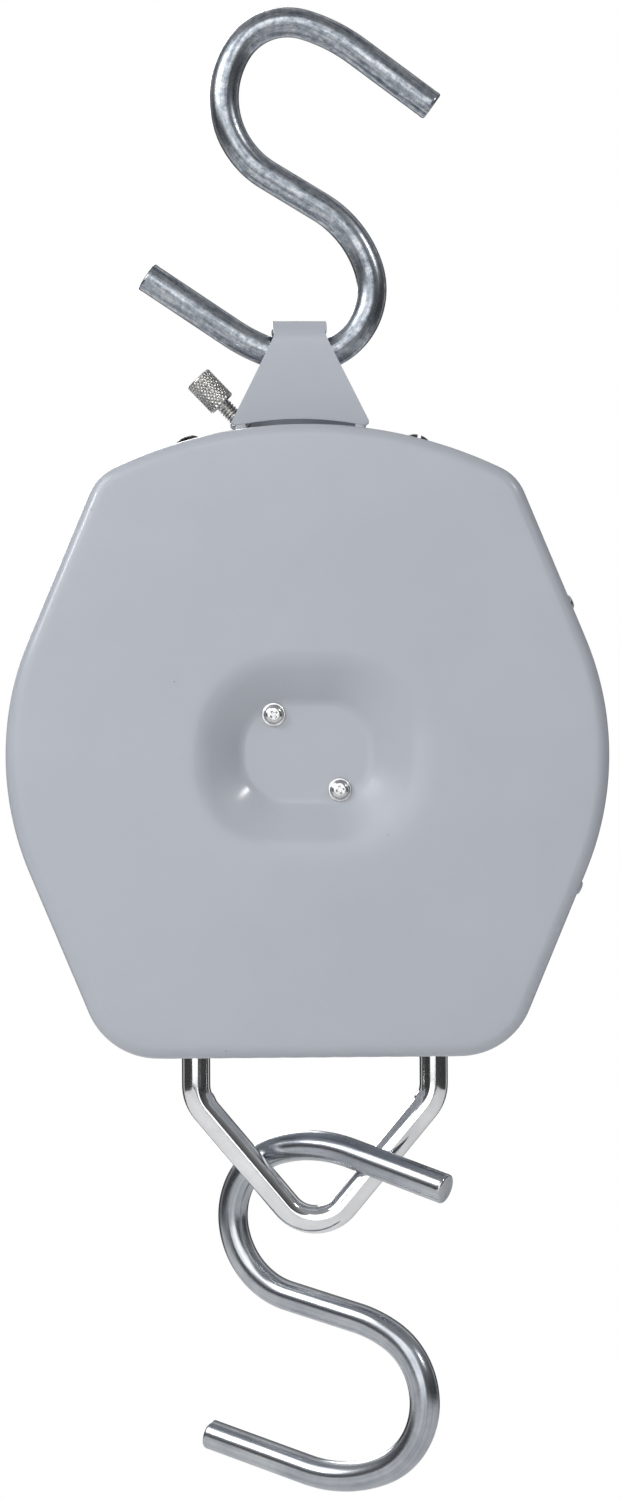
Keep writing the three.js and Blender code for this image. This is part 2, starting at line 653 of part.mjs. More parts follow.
// Chassis: a plate behind the springs with a flange along the top wall
const underTop = (inset) => {
  const spots = Array.from({ length: 17 }, (_, i) => chassisHalfWidth * (1 - i / 8));
  return spots.map((x) => [x, topOuterZ(x, inset)]);
};
const chassisShape = withHoles(
  polygon([
    [-20, -38], [20, -38], [20, 55], [chassisHalfWidth, 80],
    ...underTop(flangeInset), [-chassisHalfWidth, 80], [-20, 55],
  ]),
  [bushHole],
);
const flangeLower = underTop(flangeInset + chassisThickness).reverse();
const flangeShape = polygon([...underTop(flangeInset), ...flangeLower]);
const padWindow = box(-10, 30, -7.5, 7.5, 100, topHeight);
const chassisBody = join(
  plate(chassisShape, chassisY, chassisY + chassisThickness),
  plate(flangeShape, -plateOuterY - 2, chassisY + 0.5),
);
add("chassis", cut(chassisBody, padWindow, ...tongueSlots, ...topScrewHoles), plainSteel);

// Slotted dome screws that hold the chassis to the top wall, and their nuts
for (const [name, side] of Object.entries(sides)) {
  const { shank, head, headHeight, slot, slotDepth } = topScrew;
  const under = topArcRadius - caseInset + gap;
  const top = under + headHeight;
  const nutTop = topArcRadius - flangeInset - chassisThickness - gap;
  const dome = [1, 0.75, 0.5, 0.25].map((t) => [
    head * Math.sqrt(1 - (1 - t) ** 2), under + 1 + (1 - t) * (headHeight - 1),
  ]);
  const profile = [
    [0, nutTop - nutHeight - 2], [shank, nutTop - nutHeight - 2], [shank, under],
    [head, under], ...dome, [0, top],
  ];
  const across = box(-head - 1, head + 1, -slot / 2, slot / 2, top - slotDepth, top + 1);
  const slotTool = side < 0 ? across.rotateZ(Math.PI / 2) : across;
  add("top_screw_" + name, alongTopArc(cut(upright(turned(profile, 20)), slotTool), side), blackSteel);
  const nut = hexNut(8, shankHole(shank), nutTop - nutHeight, nutTop);
  add("chassis_nut_" + name, alongTopArc(nut, side), plainSteel);
}

// Spring hanger between the bracket's tongues, on two pins
const springXs = Object.entries(sides).map(([name, side]) => [name, side * springX]);
const standing = (radius, z0, z1, x, segments = 14) => at(upright(disc(radius, z0, z1, segments)), x, 0, 0);
const studHole = (x) => standing(springPlug.stud + gap, crosshead.bottom - 2, hanger.top + 2, x);
const studHoles = springXs.map(([, x]) => studHole(x));
const pinXs = Object.entries(sides).map(([name, side]) => [name, bracketX + side * hangerPin.x]);
const pinHoles = pinXs.map(([, x]) =>
  at(disc(hangerPin.radius + gap, -plateOuterY - 3, plateOuterY + 3, 14), x, 0, hangerPin.z),
);
const hangerDepth = plateInnerY - gap;
const { halfWidth: hangerWidth, bottom: hangerBottom, top: hangerTop } = hanger;
const hangerBar = box(-hangerWidth, hangerWidth, -hangerDepth, hangerDepth, hangerBottom, hangerTop);
add("spring_hanger", cut(hangerBar, ...studHoles, ...pinHoles), plainSteel);

const bracketBody = at(join(bracketFold(), bracketFace(1), bracketFace(-1)), bracketX, 0, 0);
add("suspension_bracket", cut(bracketBody, ...pinHoles), greyPaint);

for (const [name, x] of pinXs) {
  const { radius, head, headHeight, z } = hangerPin;
  const face = plateOuterY + gap;
  const profile = [
    [0, -face - headHeight], [head, -face - headHeight], [head, -face], [radius, -face],
    [radius, face], [head * 0.8, face], [head * 0.8, face + headHeight], [0, face + headHeight],
  ];
  add("hanger_pin_" + name, at(turned(profile, 14), x, 0, z), plainSteel);
}

// Springs, each screwed on a plug at both ends
function plugProfile(seat, towards, studEnd) {
  const { radius, length, disc: discRadius, discHeight, stud } = springPlug;
  const discBase = seat + towards * gap;
  const discTop = discBase + towards * discHeight;
  const end = discTop + towards * length;
  return [
    [0, studEnd], [stud, studEnd], [stud, discBase], [discRadius, discBase],
    [discRadius, discTop], [radius, discTop], [radius, end], [0, end],
  ];
}

const plugDepth = gap + springPlug.discHeight;
const coilBottom = crosshead.top + plugDepth + gap + spring.wire / 2;
const coilTop = hanger.bottom - plugDepth - gap - spring.wire / 2;
const stepsPerTurn = 8;

function coil() {
  const points = [];
  const steps = spring.turns * stepsPerTurn;
  for (let i = 0; i <= steps; i++) {
    const angle = (2 * Math.PI * i) / stepsPerTurn;
    const z = coilBottom + ((coilTop - coilBottom) * i) / steps;
    points.push(new THREE.Vector3(spring.radius * Math.cos(angle), spring.radius * Math.sin(angle), z));
  }
  return wire(points, spring.wire, steps, 6);
}

for (const [name, x] of springXs) {
  const upper = turned(plugProfile(hanger.bottom, -1, hanger.top + 1), 16);
  const lower = turned(plugProfile(crosshead.top, 1, crosshead.bottom - 1), 16);
  add("spring_plug_upper_" + name, at(upright(upper), x, 0, 0), plainSteel);
  add("spring_plug_lower_" + name, at(upright(lower), x, 0, 0), plainSteel);
  add("spring_" + name, at(coil(), x, 0, 0), springSteel);
}

// Crosshead, rack and yoke: everything that the load draws down
const studHolesBelow = Object.values(legXs).map((x) =>
  standing(legStud.radius + gap, crosshead.bottom - 2, crosshead.top + 2, x, 18),
);
const { x: rackScrewX, shank: rackShank } = rackScrew;
const rackScrewHole = standing(rackShank + gap, crosshead.bottom - 2, crosshead.top + 20, rackScrewX, 12);
const crossheadBar = box(
  yokeX - crosshead.halfWidth, yokeX + crosshead.halfWidth,
  -crosshead.halfDepth, crosshead.halfDepth, crosshead.bottom, crosshead.top,
);
add("crosshead", cut(crossheadBar, ...studHoles, ...studHolesBelow, rackScrewHole), plainSteel);

function rackShape() {
  const pitch = Math.PI * gearModule;
  const pitchX = pitchRadius + meshRelief;
  const root = pitchX + 1.25 * gearModule;
  const tip = pitchX - 0.9 * gearModule;
  const footTop = crosshead.top + gap + 3;
  const teeth = Math.ceil(yokeTravel / pitch) + 3;
  const points = [];
  for (let tooth = -2; tooth < teeth - 1; tooth++) {
    const middle = (tooth + 0.5) * pitch;
    points.push([root, middle - 0.36 * pitch], [tip, middle - 0.1 * pitch]);
    points.push([tip, middle + 0.1 * pitch], [root, middle + 0.36 * pitch]);
  }
  const top = points.at(-1)[1] + 2;
  const seat = crosshead.top + gap;
  const foot = [[rackBack, seat], [-4, seat], [-4, footTop], [root, footTop]];
  return polygon([...points, [root, top], [rackBack, top], ...foot]);
}
const rackSolid = plate(rackShape(), -rackThickness / 2, rackThickness / 2);
add("rack", cut(rackSolid, rackScrewHole), brass);

const rackFootTop = crosshead.top + gap + 3;
const rackScrewProfile = [
  [0, crosshead.bottom - 1], [rackScrew.shank, crosshead.bottom - 1], [rackScrew.shank, rackFootTop + gap],
  [rackScrew.head, rackFootTop + gap], [rackScrew.head, rackFootTop + gap + rackScrew.headHeight],
  [0, rackFootTop + gap + rackScrew.headHeight],
];
add("rack_screw", at(upright(turned(rackScrewProfile, 14)), rackScrew.x, 0, 0), brightZinc);
const guidePin = disc(1.6, movementRear + gap, chassisY - gap, 12);
add("rack_guide_pin", at(guidePin, rackBack + gap + 1.6, 0, 0), brass);

function yokePoints() {
  const lean = Math.atan(legHalfSpan / (kneeHeight - yokeApex)); // of the slanted runs, from vertical
  const apexTurn = Math.PI - 2 * lean;
  const kneeSetback = kneeRadius * Math.tan(lean / 2);
  const apexSetback = apexRadius * Math.tan(apexTurn / 2);
  const slant = Math.hypot(legHalfSpan, kneeHeight - yokeApex) - kneeSetback - apexSetback;
  const leg = crosshead.bottom - gap - kneeHeight - kneeSetback;
  const runs = [
    { length: leg }, { radius: kneeRadius, turn: lean }, { length: slant },
    { radius: apexRadius, turn: apexTurn },
    { length: slant }, { radius: kneeRadius, turn: lean }, { length: leg },
  ];
  return wirePoints(new THREE.Vector3(legXs.left, 0, crosshead.bottom - gap), -Math.PI / 2, runs);
}
const yokeStud = (x) => standing(legStud.radius, crosshead.bottom - 2, legStud.top, x, 18);
add("draw_yoke", join(wire(yokePoints(), yokeWire, 84, 12), ...Object.values(legXs).map(yokeStud)), chrome);

for (const [name, x] of Object.entries(legXs)) {
  const nutSeat = crosshead.top + gap;
  const nut = hexNut(yokeNut.across, legStud.radius + gap, nutSeat, nutSeat + yokeNut.height);
  add("yoke_nut_" + name, at(nut.rotateZ(Math.PI / 6), x, 0, 0), brightZinc);
  const outside = -(caseRadius - caseInset) - gap;
  const inside = -(caseRadius - caseInset - sheet) + gap;
  const { radius, height } = bushFlange;
  const profile = [
    [legHole, outside - height], [radius, outside - height], [radius, outside], [bushTube, outside],
    [bushTube, inside], [radius, inside], [radius, inside + height], [legHole, inside + height],
  ];
  add("yoke_bush_" + name, at(upright(turned(profile, 24)), x, 0, 0), blackRubber);
}

// Zero adjustment: the screw turns in a boss under the top wall and bears on a ramp through its swivel pad
const zeroMount = zeroFrame(0);
scale.add(zeroMount);
const { radius: headRadius, length: headLength, chamfer } = zeroHead;
const zeroScrewProfile = [
  [0, -headLength], [headRadius - chamfer, -headLength], [headRadius, -headLength + chamfer],
  [headRadius, -chamfer], [headRadius - chamfer, 0], [zeroNeck.radius, 0],
  [zeroNeck.radius, zeroNeck.length],
  [zeroThread.radius, zeroNeck.length + 0.8], [zeroThread.radius, zeroThread.length], [0, zeroThread.length],
];
add("zero_screw", turned(zeroScrewProfile, 24), nickel, zeroMount);
const padStart = zeroThread.length + gap;
const padEnd = padStart + zeroPad.thickness;
add("zero_pad", disc(zeroPad.radius, padStart, padEnd, 20), nickel, zeroMount);

const alongZero = (distance, side) => [
  zeroHeadEnd.x + zeroIn.x * distance - zeroIn.z * side,
  zeroHeadEnd.z + zeroIn.z * distance + zeroIn.x * side,
];
function bossShape() {
  const lower = alongZero(zeroBoss.depthAlong, zeroBoss.halfWidth);
  const upper = alongZero(zeroBoss.depthAlong, -zeroBoss.halfWidth);
  const under = (x) => topOuterZ(x, caseInset + sheet) - gap;
  const reach = lower[0] + 2 * zeroBoss.halfWidth * 0.8;
  const wallPoints = [0, 0.25, 0.5, 0.75, 1].map((t) => upper[0] + (reach - upper[0]) * t);
  return polygon([lower, ...wallPoints.reverse().map((x) => [x, under(x)]), upper]);
}
const boss = plate(bossShape(), -zeroBoss.halfDepth, zeroBoss.halfDepth);
add("zero_boss", cut(boss, zeroBore(zeroThread.radius + gap)), plainSteel);

const rampBase = hanger.top + gap;
const rampLow = alongZero(padEnd + gap, zeroRamp.reach);
const rampHigh = alongZero(padEnd + gap, -zeroRamp.reach);
const rampShape = polygon([
  [zeroRamp.back, rampBase], [rampLow[0], rampBase], rampLow, rampHigh, [rampHigh[0] - 3, rampHigh[1]],
  [zeroRamp.back, rampLow[1]],
]);
add("zero_ramp", plate(rampShape, -zeroRamp.halfDepth, zeroRamp.halfDepth), plainSteel);

// Lower hook
const lowerHookMount = new THREE.Group();
lowerHookMount.position.x = lowerHookTurn.x;
lowerHookMount.rotation.z = -lowerHookTurn.yaw;
scale.add(lowerHookMount);
const lowerHookMesh = add("lower_hook", hookSolid(lowerHook), zincPlate, lowerHookMount);
lowerHookMesh.position.set(lowerHook.middle.x - lowerHookTurn.x, 0, lowerHook.middle.z);

// The whole object, moved so that the top hook's resting point is the origin
const eyeTop = hookPath(topHook).reduce((best, point) => (point.z > best.z ? point : best));
scale.position.set(-(topHook.middle.x + eyeTop.x), 0, -(topHook.middle.z + eyeTop.z - hookWire / 2));
const object = new THREE.Group();
object.add(scale);
export default object;
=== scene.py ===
import math

import bmesh
import bpy
import numpy as np
from mathutils import Matrix, Vector


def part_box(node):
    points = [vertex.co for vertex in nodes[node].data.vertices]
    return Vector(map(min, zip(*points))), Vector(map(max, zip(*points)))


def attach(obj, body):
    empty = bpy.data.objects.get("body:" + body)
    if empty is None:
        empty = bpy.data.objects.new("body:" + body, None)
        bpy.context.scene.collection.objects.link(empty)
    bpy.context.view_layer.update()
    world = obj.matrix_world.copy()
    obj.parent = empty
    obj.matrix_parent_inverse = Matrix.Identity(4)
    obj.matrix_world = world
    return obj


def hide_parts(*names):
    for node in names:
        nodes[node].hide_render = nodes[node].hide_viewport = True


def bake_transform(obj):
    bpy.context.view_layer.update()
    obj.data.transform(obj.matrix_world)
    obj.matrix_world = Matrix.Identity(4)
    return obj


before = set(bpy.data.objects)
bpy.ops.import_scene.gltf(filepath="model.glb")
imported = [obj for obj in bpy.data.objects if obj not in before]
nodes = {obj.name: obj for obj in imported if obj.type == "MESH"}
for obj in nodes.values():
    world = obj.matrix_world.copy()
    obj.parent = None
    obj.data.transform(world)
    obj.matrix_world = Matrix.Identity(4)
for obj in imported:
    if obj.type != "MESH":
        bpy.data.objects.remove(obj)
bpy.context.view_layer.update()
print("frame loaded,", len(nodes), "nodes")

bezelLow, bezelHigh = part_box("bezel")
dialCentre = (bezelLow + bezelHigh) / 2  # every size below is in millimetres about this point


def place(x, y, z):
    return Vector((dialCentre.x + x / 1000, y / 1000, dialCentre.z + z / 1000))


def addNode(tree, kind, inputs=None, **settings):
    made = tree.nodes.new(kind)
    for name, value in settings.items():
        setattr(made, name, value)
    for key, value in (inputs or {}).items():
        if isinstance(value, bpy.types.NodeSocket):
            tree.links.new(value, made.inputs[key])
        else:
            made.inputs[key].default_value = value
    return made


def math2(tree, operation, a, b=0.0):
    return addNode(tree, "ShaderNodeMath", {0: a, 1: b}, operation=operation).outputs[0]


def noise(tree, vector, scale, detail=4.0, rough=0.55):
    sockets = {"Vector": vector, "Scale": scale, "Detail": detail, "Roughness": rough}
    return addNode(tree, "ShaderNodeTexNoise", sockets).outputs["Fac"]


def ramp(tree, factor, stops):
    made = addNode(tree, "ShaderNodeValToRGB", {"Fac": factor})
    band = made.color_ramp
    while len(band.elements) < len(stops):
        band.elements.new(0.5)
    for element, (position, colour) in zip(band.elements, stops):
        element.position = position
        level = (colour,) * 3 if isinstance(colour, float) else colour
        element.color = (*level, 1)
    return made.outputs["Color"]


def mixed(tree, blend, factor, a, b):
    made = addNode(tree, "ShaderNodeMix", data_type="RGBA", blend_type=blend)
    for index, value in ((0, factor), (6, a), (7, b)):
        if isinstance(value, bpy.types.NodeSocket):
            tree.links.new(value, made.inputs[index])
        else:
            made.inputs[index].default_value = value
    return made.outputs[2]


def stretched(tree, vector, scale):
    return addNode(tree, "ShaderNodeMapping", {"Vector": vector, "Scale": scale}).outputs[0]


def newFinish(name, constants):
    made = bpy.data.materials.new(name)
    made.use_nodes = True
    tree = made.node_tree
    shader = tree.nodes["Principled BSDF"]
    for socket, value in constants.items():
        shader.inputs[socket].default_value = value
    where = addNode(tree, "ShaderNodeTexCoord").outputs["Object"]
    return made, tree, shader, where


def bump(tree, shader, height, strength, distance):
    sockets = {"Height": height, "Strength": strength, "Distance": distance}
    tree.links.new(addNode(tree, "ShaderNodeBump", sockets).outputs[0], shader.inputs["Normal"])


paintLook = {
    "colour": (0.416, 0.440, 0.486),
    "darker": (0.396, 0.420, 0.466),
    "speck": (0.24, 0.25, 0.28),
    "roughness": (0.36, 0.46),
    "peel": 0.05,
}


def makePaint(name, look):
    made, tree, shader, where = newFinish(name, {"Coat Weight": 0.4, "Coat Roughness": 0.15, "IOR": 1.5})
    drift = ramp(tree, noise(tree, where, 14, 3), [(0.35, look["darker"]), (0.65, look["colour"])])
    specks = addNode(tree, "ShaderNodeTexVoronoi", {"Vector": where, "Scale": 95.0}).outputs["Distance"]
    rare = math2(tree, "GREATER_THAN", noise(tree, where, 60, 1), 0.66)
    dot = math2(tree, "MULTIPLY", math2(tree, "LESS_THAN", specks, 0.03), rare)
    colour = mixed(tree, "MIX", dot, drift, (*look["speck"], 1))
    tree.links.new(colour, shader.inputs["Base Color"])
    low, high = look["roughness"]
    gloss = ramp(tree, noise(tree, where, 120, 5), [(0.3, low), (0.7, high)])
    tree.links.new(gloss, shader.inputs["Roughness"])
    peel = noise(tree, where, 620, 2.5)
    bump(tree, shader, peel, look["peel"], 0.0004)
    return made


wireLook = {
    "mottled": {
        "dark": (0.14, 0.16, 0.19), "mid": (0.33, 0.36, 0.40), "light": (0.58, 0.60, 0.62),
        "roughness": (0.24, 0.36), "patch": 420, "streak": (60, 900), "grain": 0.012,
    },
    "drawn": {
        "dark": (0.30, 0.32, 0.355), "mid": (0.42, 0.445, 0.48), "light": (0.56, 0.58, 0.60),
        "roughness": (0.20, 0.28), "patch": 40, "streak": (6, 1500), "grain": 0.003,
    },
}


def wireVector(tree):  # length along the wire, then the place round its section, in metres
    along = addNode(tree, "ShaderNodeAttribute", attribute_name="alongWire").outputs["Fac"]
    around = addNode(tree, "ShaderNodeAttribute", attribute_name="ringPlace").outputs["Vector"]
    split = addNode(tree, "ShaderNodeSeparateXYZ", {0: around})
    sockets = {0: along, 1: split.outputs[0], 2: split.outputs[1]}
    return addNode(tree, "ShaderNodeCombineXYZ", sockets).outputs[0]


def makeZincWire(name, look):
    made, tree, shader, where = newFinish(name, {"Metallic": 1.0})
    wire = wireVector(tree)
    lengthwise, across = look["streak"]
    streaks = noise(tree, stretched(tree, wire, (lengthwise, across, across)), 1, 5, 0.65)
    patches = noise(tree, where, look["patch"], 7, 0.7)
    blend = math2(tree, "MULTIPLY", math2(tree, "ADD", streaks, patches), 0.5)
    stops = [(0.38, look["dark"]), (0.5, look["mid"]), (0.62, look["light"])]
    tree.links.new(ramp(tree, blend, stops), shader.inputs["Base Color"])
    low, high = look["roughness"]
    tree.links.new(ramp(tree, patches, [(0.3, high), (0.7, low)]), shader.inputs["Roughness"])
    pits = math2(tree, "ADD", streaks, math2(tree, "MULTIPLY", noise(tree, where, 900, 4), 0.6))
    bump(tree, shader, pits, look["grain"], 0.0006)
    return made


def makeChromeWire(name):
    made, tree, shader, where = newFinish(name, {"Metallic": 1.0})
    scratches = noise(tree, stretched(tree, wireVector(tree), (20, 1800, 1800)), 1, 3)
    haze = noise(tree, where, 70, 4)
    stops = [(0.35, (0.74, 0.745, 0.76)), (0.65, (0.86, 0.865, 0.87))]
    tree.links.new(ramp(tree, haze, stops), shader.inputs["Base Color"])
    tree.links.new(ramp(tree, scratches, [(0.4, 0.07), (0.75, 0.14)]), shader.inputs["Roughness"])
    bump(tree, shader, noise(tree, where, 40, 1), 0.002, 0.0005)
    return made


metalLook = {  # dark, light, roughness low and high, size of the marks per metre, bump
    "bright_zinc": ((0.52, 0.53, 0.54), (0.78, 0.78, 0.77), 0.14, 0.30, 260, 0.05),
    "chrome_ring": ((0.74, 0.745, 0.76), (0.88, 0.885, 0.89), 0.05, 0.12, 90, 0.02),
    "nickel": ((0.70, 0.685, 0.655), (0.84, 0.825, 0.79), 0.18, 0.30, 160, 0.01),
    "black_steel": ((0.010, 0.010, 0.011), (0.035, 0.035, 0.04), 0.22, 0.42, 300, 0.05),
    "plain_steel": ((0.26, 0.27, 0.285), (0.44, 0.45, 0.46), 0.30, 0.50, 120, 0.08),
    "brass": ((0.52, 0.34, 0.11), (0.74, 0.53, 0.22), 0.22, 0.40, 130, 0.05),
    "spring_steel": ((0.10, 0.105, 0.115), (0.24, 0.25, 0.27), 0.25, 0.42, 200, 0.06),
}


def makeMetal(name, look):
    dark, light, low, high, scale, grain = look
    made, tree, shader, where = newFinish(name, {"Metallic": 1.0})
    marks = noise(tree, where, scale, 6, 0.65)
    brushed = noise(tree, stretched(tree, where, (1, 9, 1)), scale * 1.6, 4)
    groove = addNode(tree, "ShaderNodeAttribute", attribute_name="grooveDepth").outputs["Fac"]
    grooveShade = ramp(tree, groove, [(0.5, 0.0), (1.0, 1.0)])  # painted shade: a knurl's or a thread's grooves are darkened in colour
    bareMetal = ramp(tree, marks, [(0.35, dark), (0.65, light)])
    # the grooves get painted shade, mixed towards a dark grey (0.14)
    tree.links.new(mixed(tree, "MIX", grooveShade, bareMetal, (0.14, 0.135, 0.13, 1)), shader.inputs["Base Color"])
    tree.links.new(ramp(tree, brushed, [(0.35, low), (0.7, high)]), shader.inputs["Roughness"])
    bump(tree, shader, brushed, grain, 0.0003)
    return made


plainLook = {  # dark, light, roughness low and high, size of the marks per metre, bump
    "white_dial": ((0.78, 0.775, 0.74), (0.84, 0.835, 0.81), 0.38, 0.5, 25, 0.01),
    "red_paint": ((0.42, 0.012, 0.010), (0.56, 0.025, 0.018), 0.28, 0.42, 160, 0.04),
    "black_rubber": ((0.010, 0.010, 0.010), (0.030, 0.030, 0.032), 0.55, 0.8, 420, 0.15),
    "white_plastic": ((0.70, 0.69, 0.65), (0.79, 0.785, 0.75), 0.32, 0.48, 80, 0.03),
    "dial_ink": ((0.008, 0.008, 0.010), (0.022, 0.022, 0.026), 0.4, 0.6, 300, 0.02),
}


def makePlain(name, look):
    dark, light, low, high, scale, grain = look
    made, tree, shader, where = newFinish(name, {"IOR": 1.48})
    marks = noise(tree, where, scale, 6, 0.6)
    tree.links.new(ramp(tree, marks, [(0.3, dark), (0.7, light)]), shader.inputs["Base Color"])
    tree.links.new(ramp(tree, marks, [(0.3, high), (0.7, low)]), shader.inputs["Roughness"])
    bump(tree, shader, noise(tree, where, scale * 4, 3), grain, 0.0003)
    return made


def makeLens(name):
    clear = {"Alpha": 0.05, "IOR": 1.49, "Coat Weight": 0.3, "Coat Roughness": 0.03}
    made, tree, shader, where = newFinish(name, clear)
    haze = noise(tree, where, 60, 5)
    stops = [(0.3, (0.86, 0.9, 0.91)), (0.7, (0.93, 0.95, 0.96))]
    tree.links.new(ramp(tree, haze, stops), shader.inputs["Base Color"])
    tree.links.new(ramp(tree, haze, [(0.3, 0.02), (0.75, 0.07)]), shader.inputs["Roughness"])
    return made


finishes = {
    "grey_paint": makePaint("greyPaint", paintLook),
    "zinc_wire": makeZincWire("mottledZinc", wireLook["mottled"]),
    "drawn_zinc": makeZincWire("drawnZinc", wireLook["drawn"]),
    "chrome_wire": makeChromeWire("chromeWire"),
    "lens": makeLens("clearLens"),
}
for slotName, look in metalLook.items():
    finishes[slotName] = makeMetal(slotName, look)
for slotName, look in plainLook.items():
    finishes[slotName] = makePlain(slotName, look)
for cad in nodes.values():
    for materialSlot in cad.material_slots:
        materialSlot.material = finishes[materialSlot.material.name]
print("finishes made,", len(finishes))


def newPiece(name, mesh, finish):
    mesh.name = name
    mesh.materials.clear()
    mesh.materials.append(finishes[finish])
    piece = bpy.data.objects.new(name, mesh)
    bpy.context.scene.collection.objects.link(piece)
    return piece


def meshFrom(name, vertices, faces):
    mesh = bpy.data.meshes.new(name)
    mesh.from_pydata([tuple(v) for v in vertices], [], faces)
    mesh.update()
    return mesh


def applied(piece):  # the evaluated shape becomes the piece's own mesh
    bpy.context.view_layer.update()
    graph = bpy.context.evaluated_depsgraph_get()
    mesh = bpy.data.meshes.new_from_object(piece.evaluated_get(graph), depsgraph=graph)
    old = piece.data
    piece.modifiers.clear()
    piece.data = mesh
    mesh.name = piece.name
    bpy.data.meshes.remove(old)
    return piece


def shadeSmooth(piece, degrees=35):
    mesh = piece.data
    edit = bmesh.new()
    edit.from_mesh(mesh)
    limit = math.radians(degrees)
    for face in edit.faces:
        face.smooth = True
    for edge in edit.edges:
        edge.smooth = len(edge.link_faces) == 2 and edge.calc_face_angle(0) < limit
    edit.to_mesh(mesh)
    edit.free()
    return piece


def faceOut(mesh):
    edit = bmesh.new()
    edit.from_mesh(mesh)
    if edit.calc_volume(signed=True) < 0:
        bmesh.ops.reverse_faces(edit, faces=edit.faces)
    edit.to_mesh(mesh)
    edit.free()


def recalculate(mesh):
    edit = bmesh.new()
    edit.from_mesh(mesh)
    bmesh.ops.recalc_face_normals(edit, faces=edit.faces)
    edit.to_mesh(mesh)
    edit.free()


def settle(piece, body, finish, *replaced):
    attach(piece, body)
    if replaced:
        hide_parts(*replaced)
    return piece


def turnedMesh(name, profile, segments, closed=False):  # profile: radius and distance along +Z
    vertices, rows = [], []
    for radius, along in profile:
        if radius < 1e-6:
            rows.append([len(vertices)])
            vertices.append((0, 0, along))
            continue
        rows.append(list(range(len(vertices), len(vertices) + segments)))
        for i in range(segments):
            angle = 2 * math.pi * i / segments
            vertices.append((radius * math.cos(angle), radius * math.sin(angle), along))
    faces = []
    pairs = list(zip(rows, rows[1:] + ([rows[0]] if closed else [])))
    for lower, upper in pairs if closed else pairs[: len(rows) - 1]:
        for i in range(segments):
            j = (i + 1) % segments
            ring = [lower[i % len(lower)], lower[j % len(lower)]]
            ring += [upper[j % len(upper)], upper[i % len(upper)]]
            face = [v for n, v in enumerate(ring) if v not in ring[:n]]
            if len(face) > 2:
                faces.append(face)
    mesh = meshFrom(name, vertices, faces)
    recalculate(mesh)
    return mesh


def rounded(profile, radius, steps=4):  # a point may carry its own corner radius as a third number
    made = []
    for n, point in enumerate(profile):
        own = point[2] if len(point) > 2 else radius
        here = Vector(point[:2])
        if own <= 0 or n in (0, len(profile) - 1):
            made.append(tuple(here))
            continue
        before, after = Vector(profile[n - 1][:2]), Vector(profile[n + 1][:2])
        reach = min(own, (before - here).length * 0.45, (after - here).length * 0.45)
        start = here + (before - here).normalized() * reach
        end = here + (after - here).normalized() * reach
        for k in range(steps + 1):
            t = k / steps
            made.append(tuple(start * (1 - t) ** 2 + here * 2 * t * (1 - t) + end * t**2))
    return made


def newTree(name, inputs):
    tree = bpy.data.node_groups.new(name, "GeometryNodeTree")
    tree.interface.new_socket("Geometry", in_out="INPUT", socket_type="NodeSocketGeometry")
    for label, (kind, value) in inputs.items():
        socket = tree.interface.new_socket(label, in_out="INPUT", socket_type="NodeSocket" + kind)
        if value is not None:
            socket.default_value = value
    tree.interface.new_socket("Geometry", in_out="OUTPUT", socket_type="NodeSocketGeometry")
    start = addNode(tree, "NodeGroupInput")
    return tree, start


def endTree(tree, geometry, finish):
    whole = addNode(tree, "GeometryNodeRealizeInstances", {"Geometry": geometry})
    sockets = {"Geometry": whole.outputs[0], "Material": finish}
    painted = addNode(tree, "GeometryNodeSetMaterial", sockets)
    addNode(tree, "NodeGroupOutput", {0: painted.outputs[0]})


def throughTree(piece, tree, values, finish):
    values = {**values, "Finish": finishes[finish]}
    modifier = piece.modifiers.new(tree.name, "NODES")
    modifier.node_group = tree
    for item in tree.interface.items_tree:
        if item.in_out == "INPUT" and item.name in values:
            modifier[item.identifier] = values[item.name]
    applied(piece)
    piece.data.materials.clear()
    piece.data.materials.append(finishes[finish])
    return piece


def storedValue(tree, geometry, name, value, kind="FLOAT"):
    sockets = {"Geometry": geometry, "Name": name}
    store = addNode(tree, "GeometryNodeStoreNamedAttribute", sockets, data_type=kind, domain="POINT")
    tree.links.new(value, store.inputs["Value"])
    return store.outputs[0]


def namedValue(tree, name, kind="FLOAT"):
    sockets = {"Name": name}
    return addNode(tree, "GeometryNodeInputNamedAttribute", sockets, data_type=kind).outputs["Attribute"]


# runs: a length for a straight, or a radius and a turn in degrees for a bend, in the XZ plane
def bentPath(heading, runs, step):
    points, x, z, angle = [(0.0, 0.0)], 0.0, 0.0, heading
    for run in runs:
        turn = math.radians(run[1]) if isinstance(run, tuple) else 0.0
        length = run[0] * abs(turn) if isinstance(run, tuple) else run
        steps = max(1, round(length / step))
        for _ in range(steps):
            part = turn / steps
            chord = length / steps if not turn else 2 * run[0] * math.sin(abs(part) / 2)
            angle += part / 2
            x, z = x + chord * math.cos(angle), z + chord * math.sin(angle)
            angle += part / 2
            points.append((x, z))
    return points


def makeSweepTree():
    inputs = {"Diameter": ("Float", 0.01), "Sides": ("Int", 32), "Finish": ("Material", None)}
    tree, start = newTree("sweepWire", inputs)
    rail = addNode(tree, "GeometryNodeMeshToCurve", {"Mesh": start.outputs["Geometry"]})
    distance = addNode(tree, "GeometryNodeSplineParameter").outputs["Length"]
    rail = storedValue(tree, rail.outputs[0], "alongWire", distance)
    radius = math2(tree, "MULTIPLY", start.outputs["Diameter"], 0.5)
    sockets = {"Resolution": start.outputs["Sides"], "Radius": radius}
    section = addNode(tree, "GeometryNodeCurvePrimitiveCircle", sockets, mode="RADIUS")
    position = addNode(tree, "GeometryNodeInputPosition").outputs[0]
    section = storedValue(tree, section.outputs[0], "ringPlace", position, "FLOAT_VECTOR")
    girth = namedValue(tree, "girth")
    sockets = {"Curve": rail, "Profile Curve": section, "Scale": girth, "Fill Caps": True}
    sweep = addNode(tree, "GeometryNodeCurveToMesh", sockets)
    endTree(tree, sweep.outputs[0], start.outputs["Finish"])
    return tree


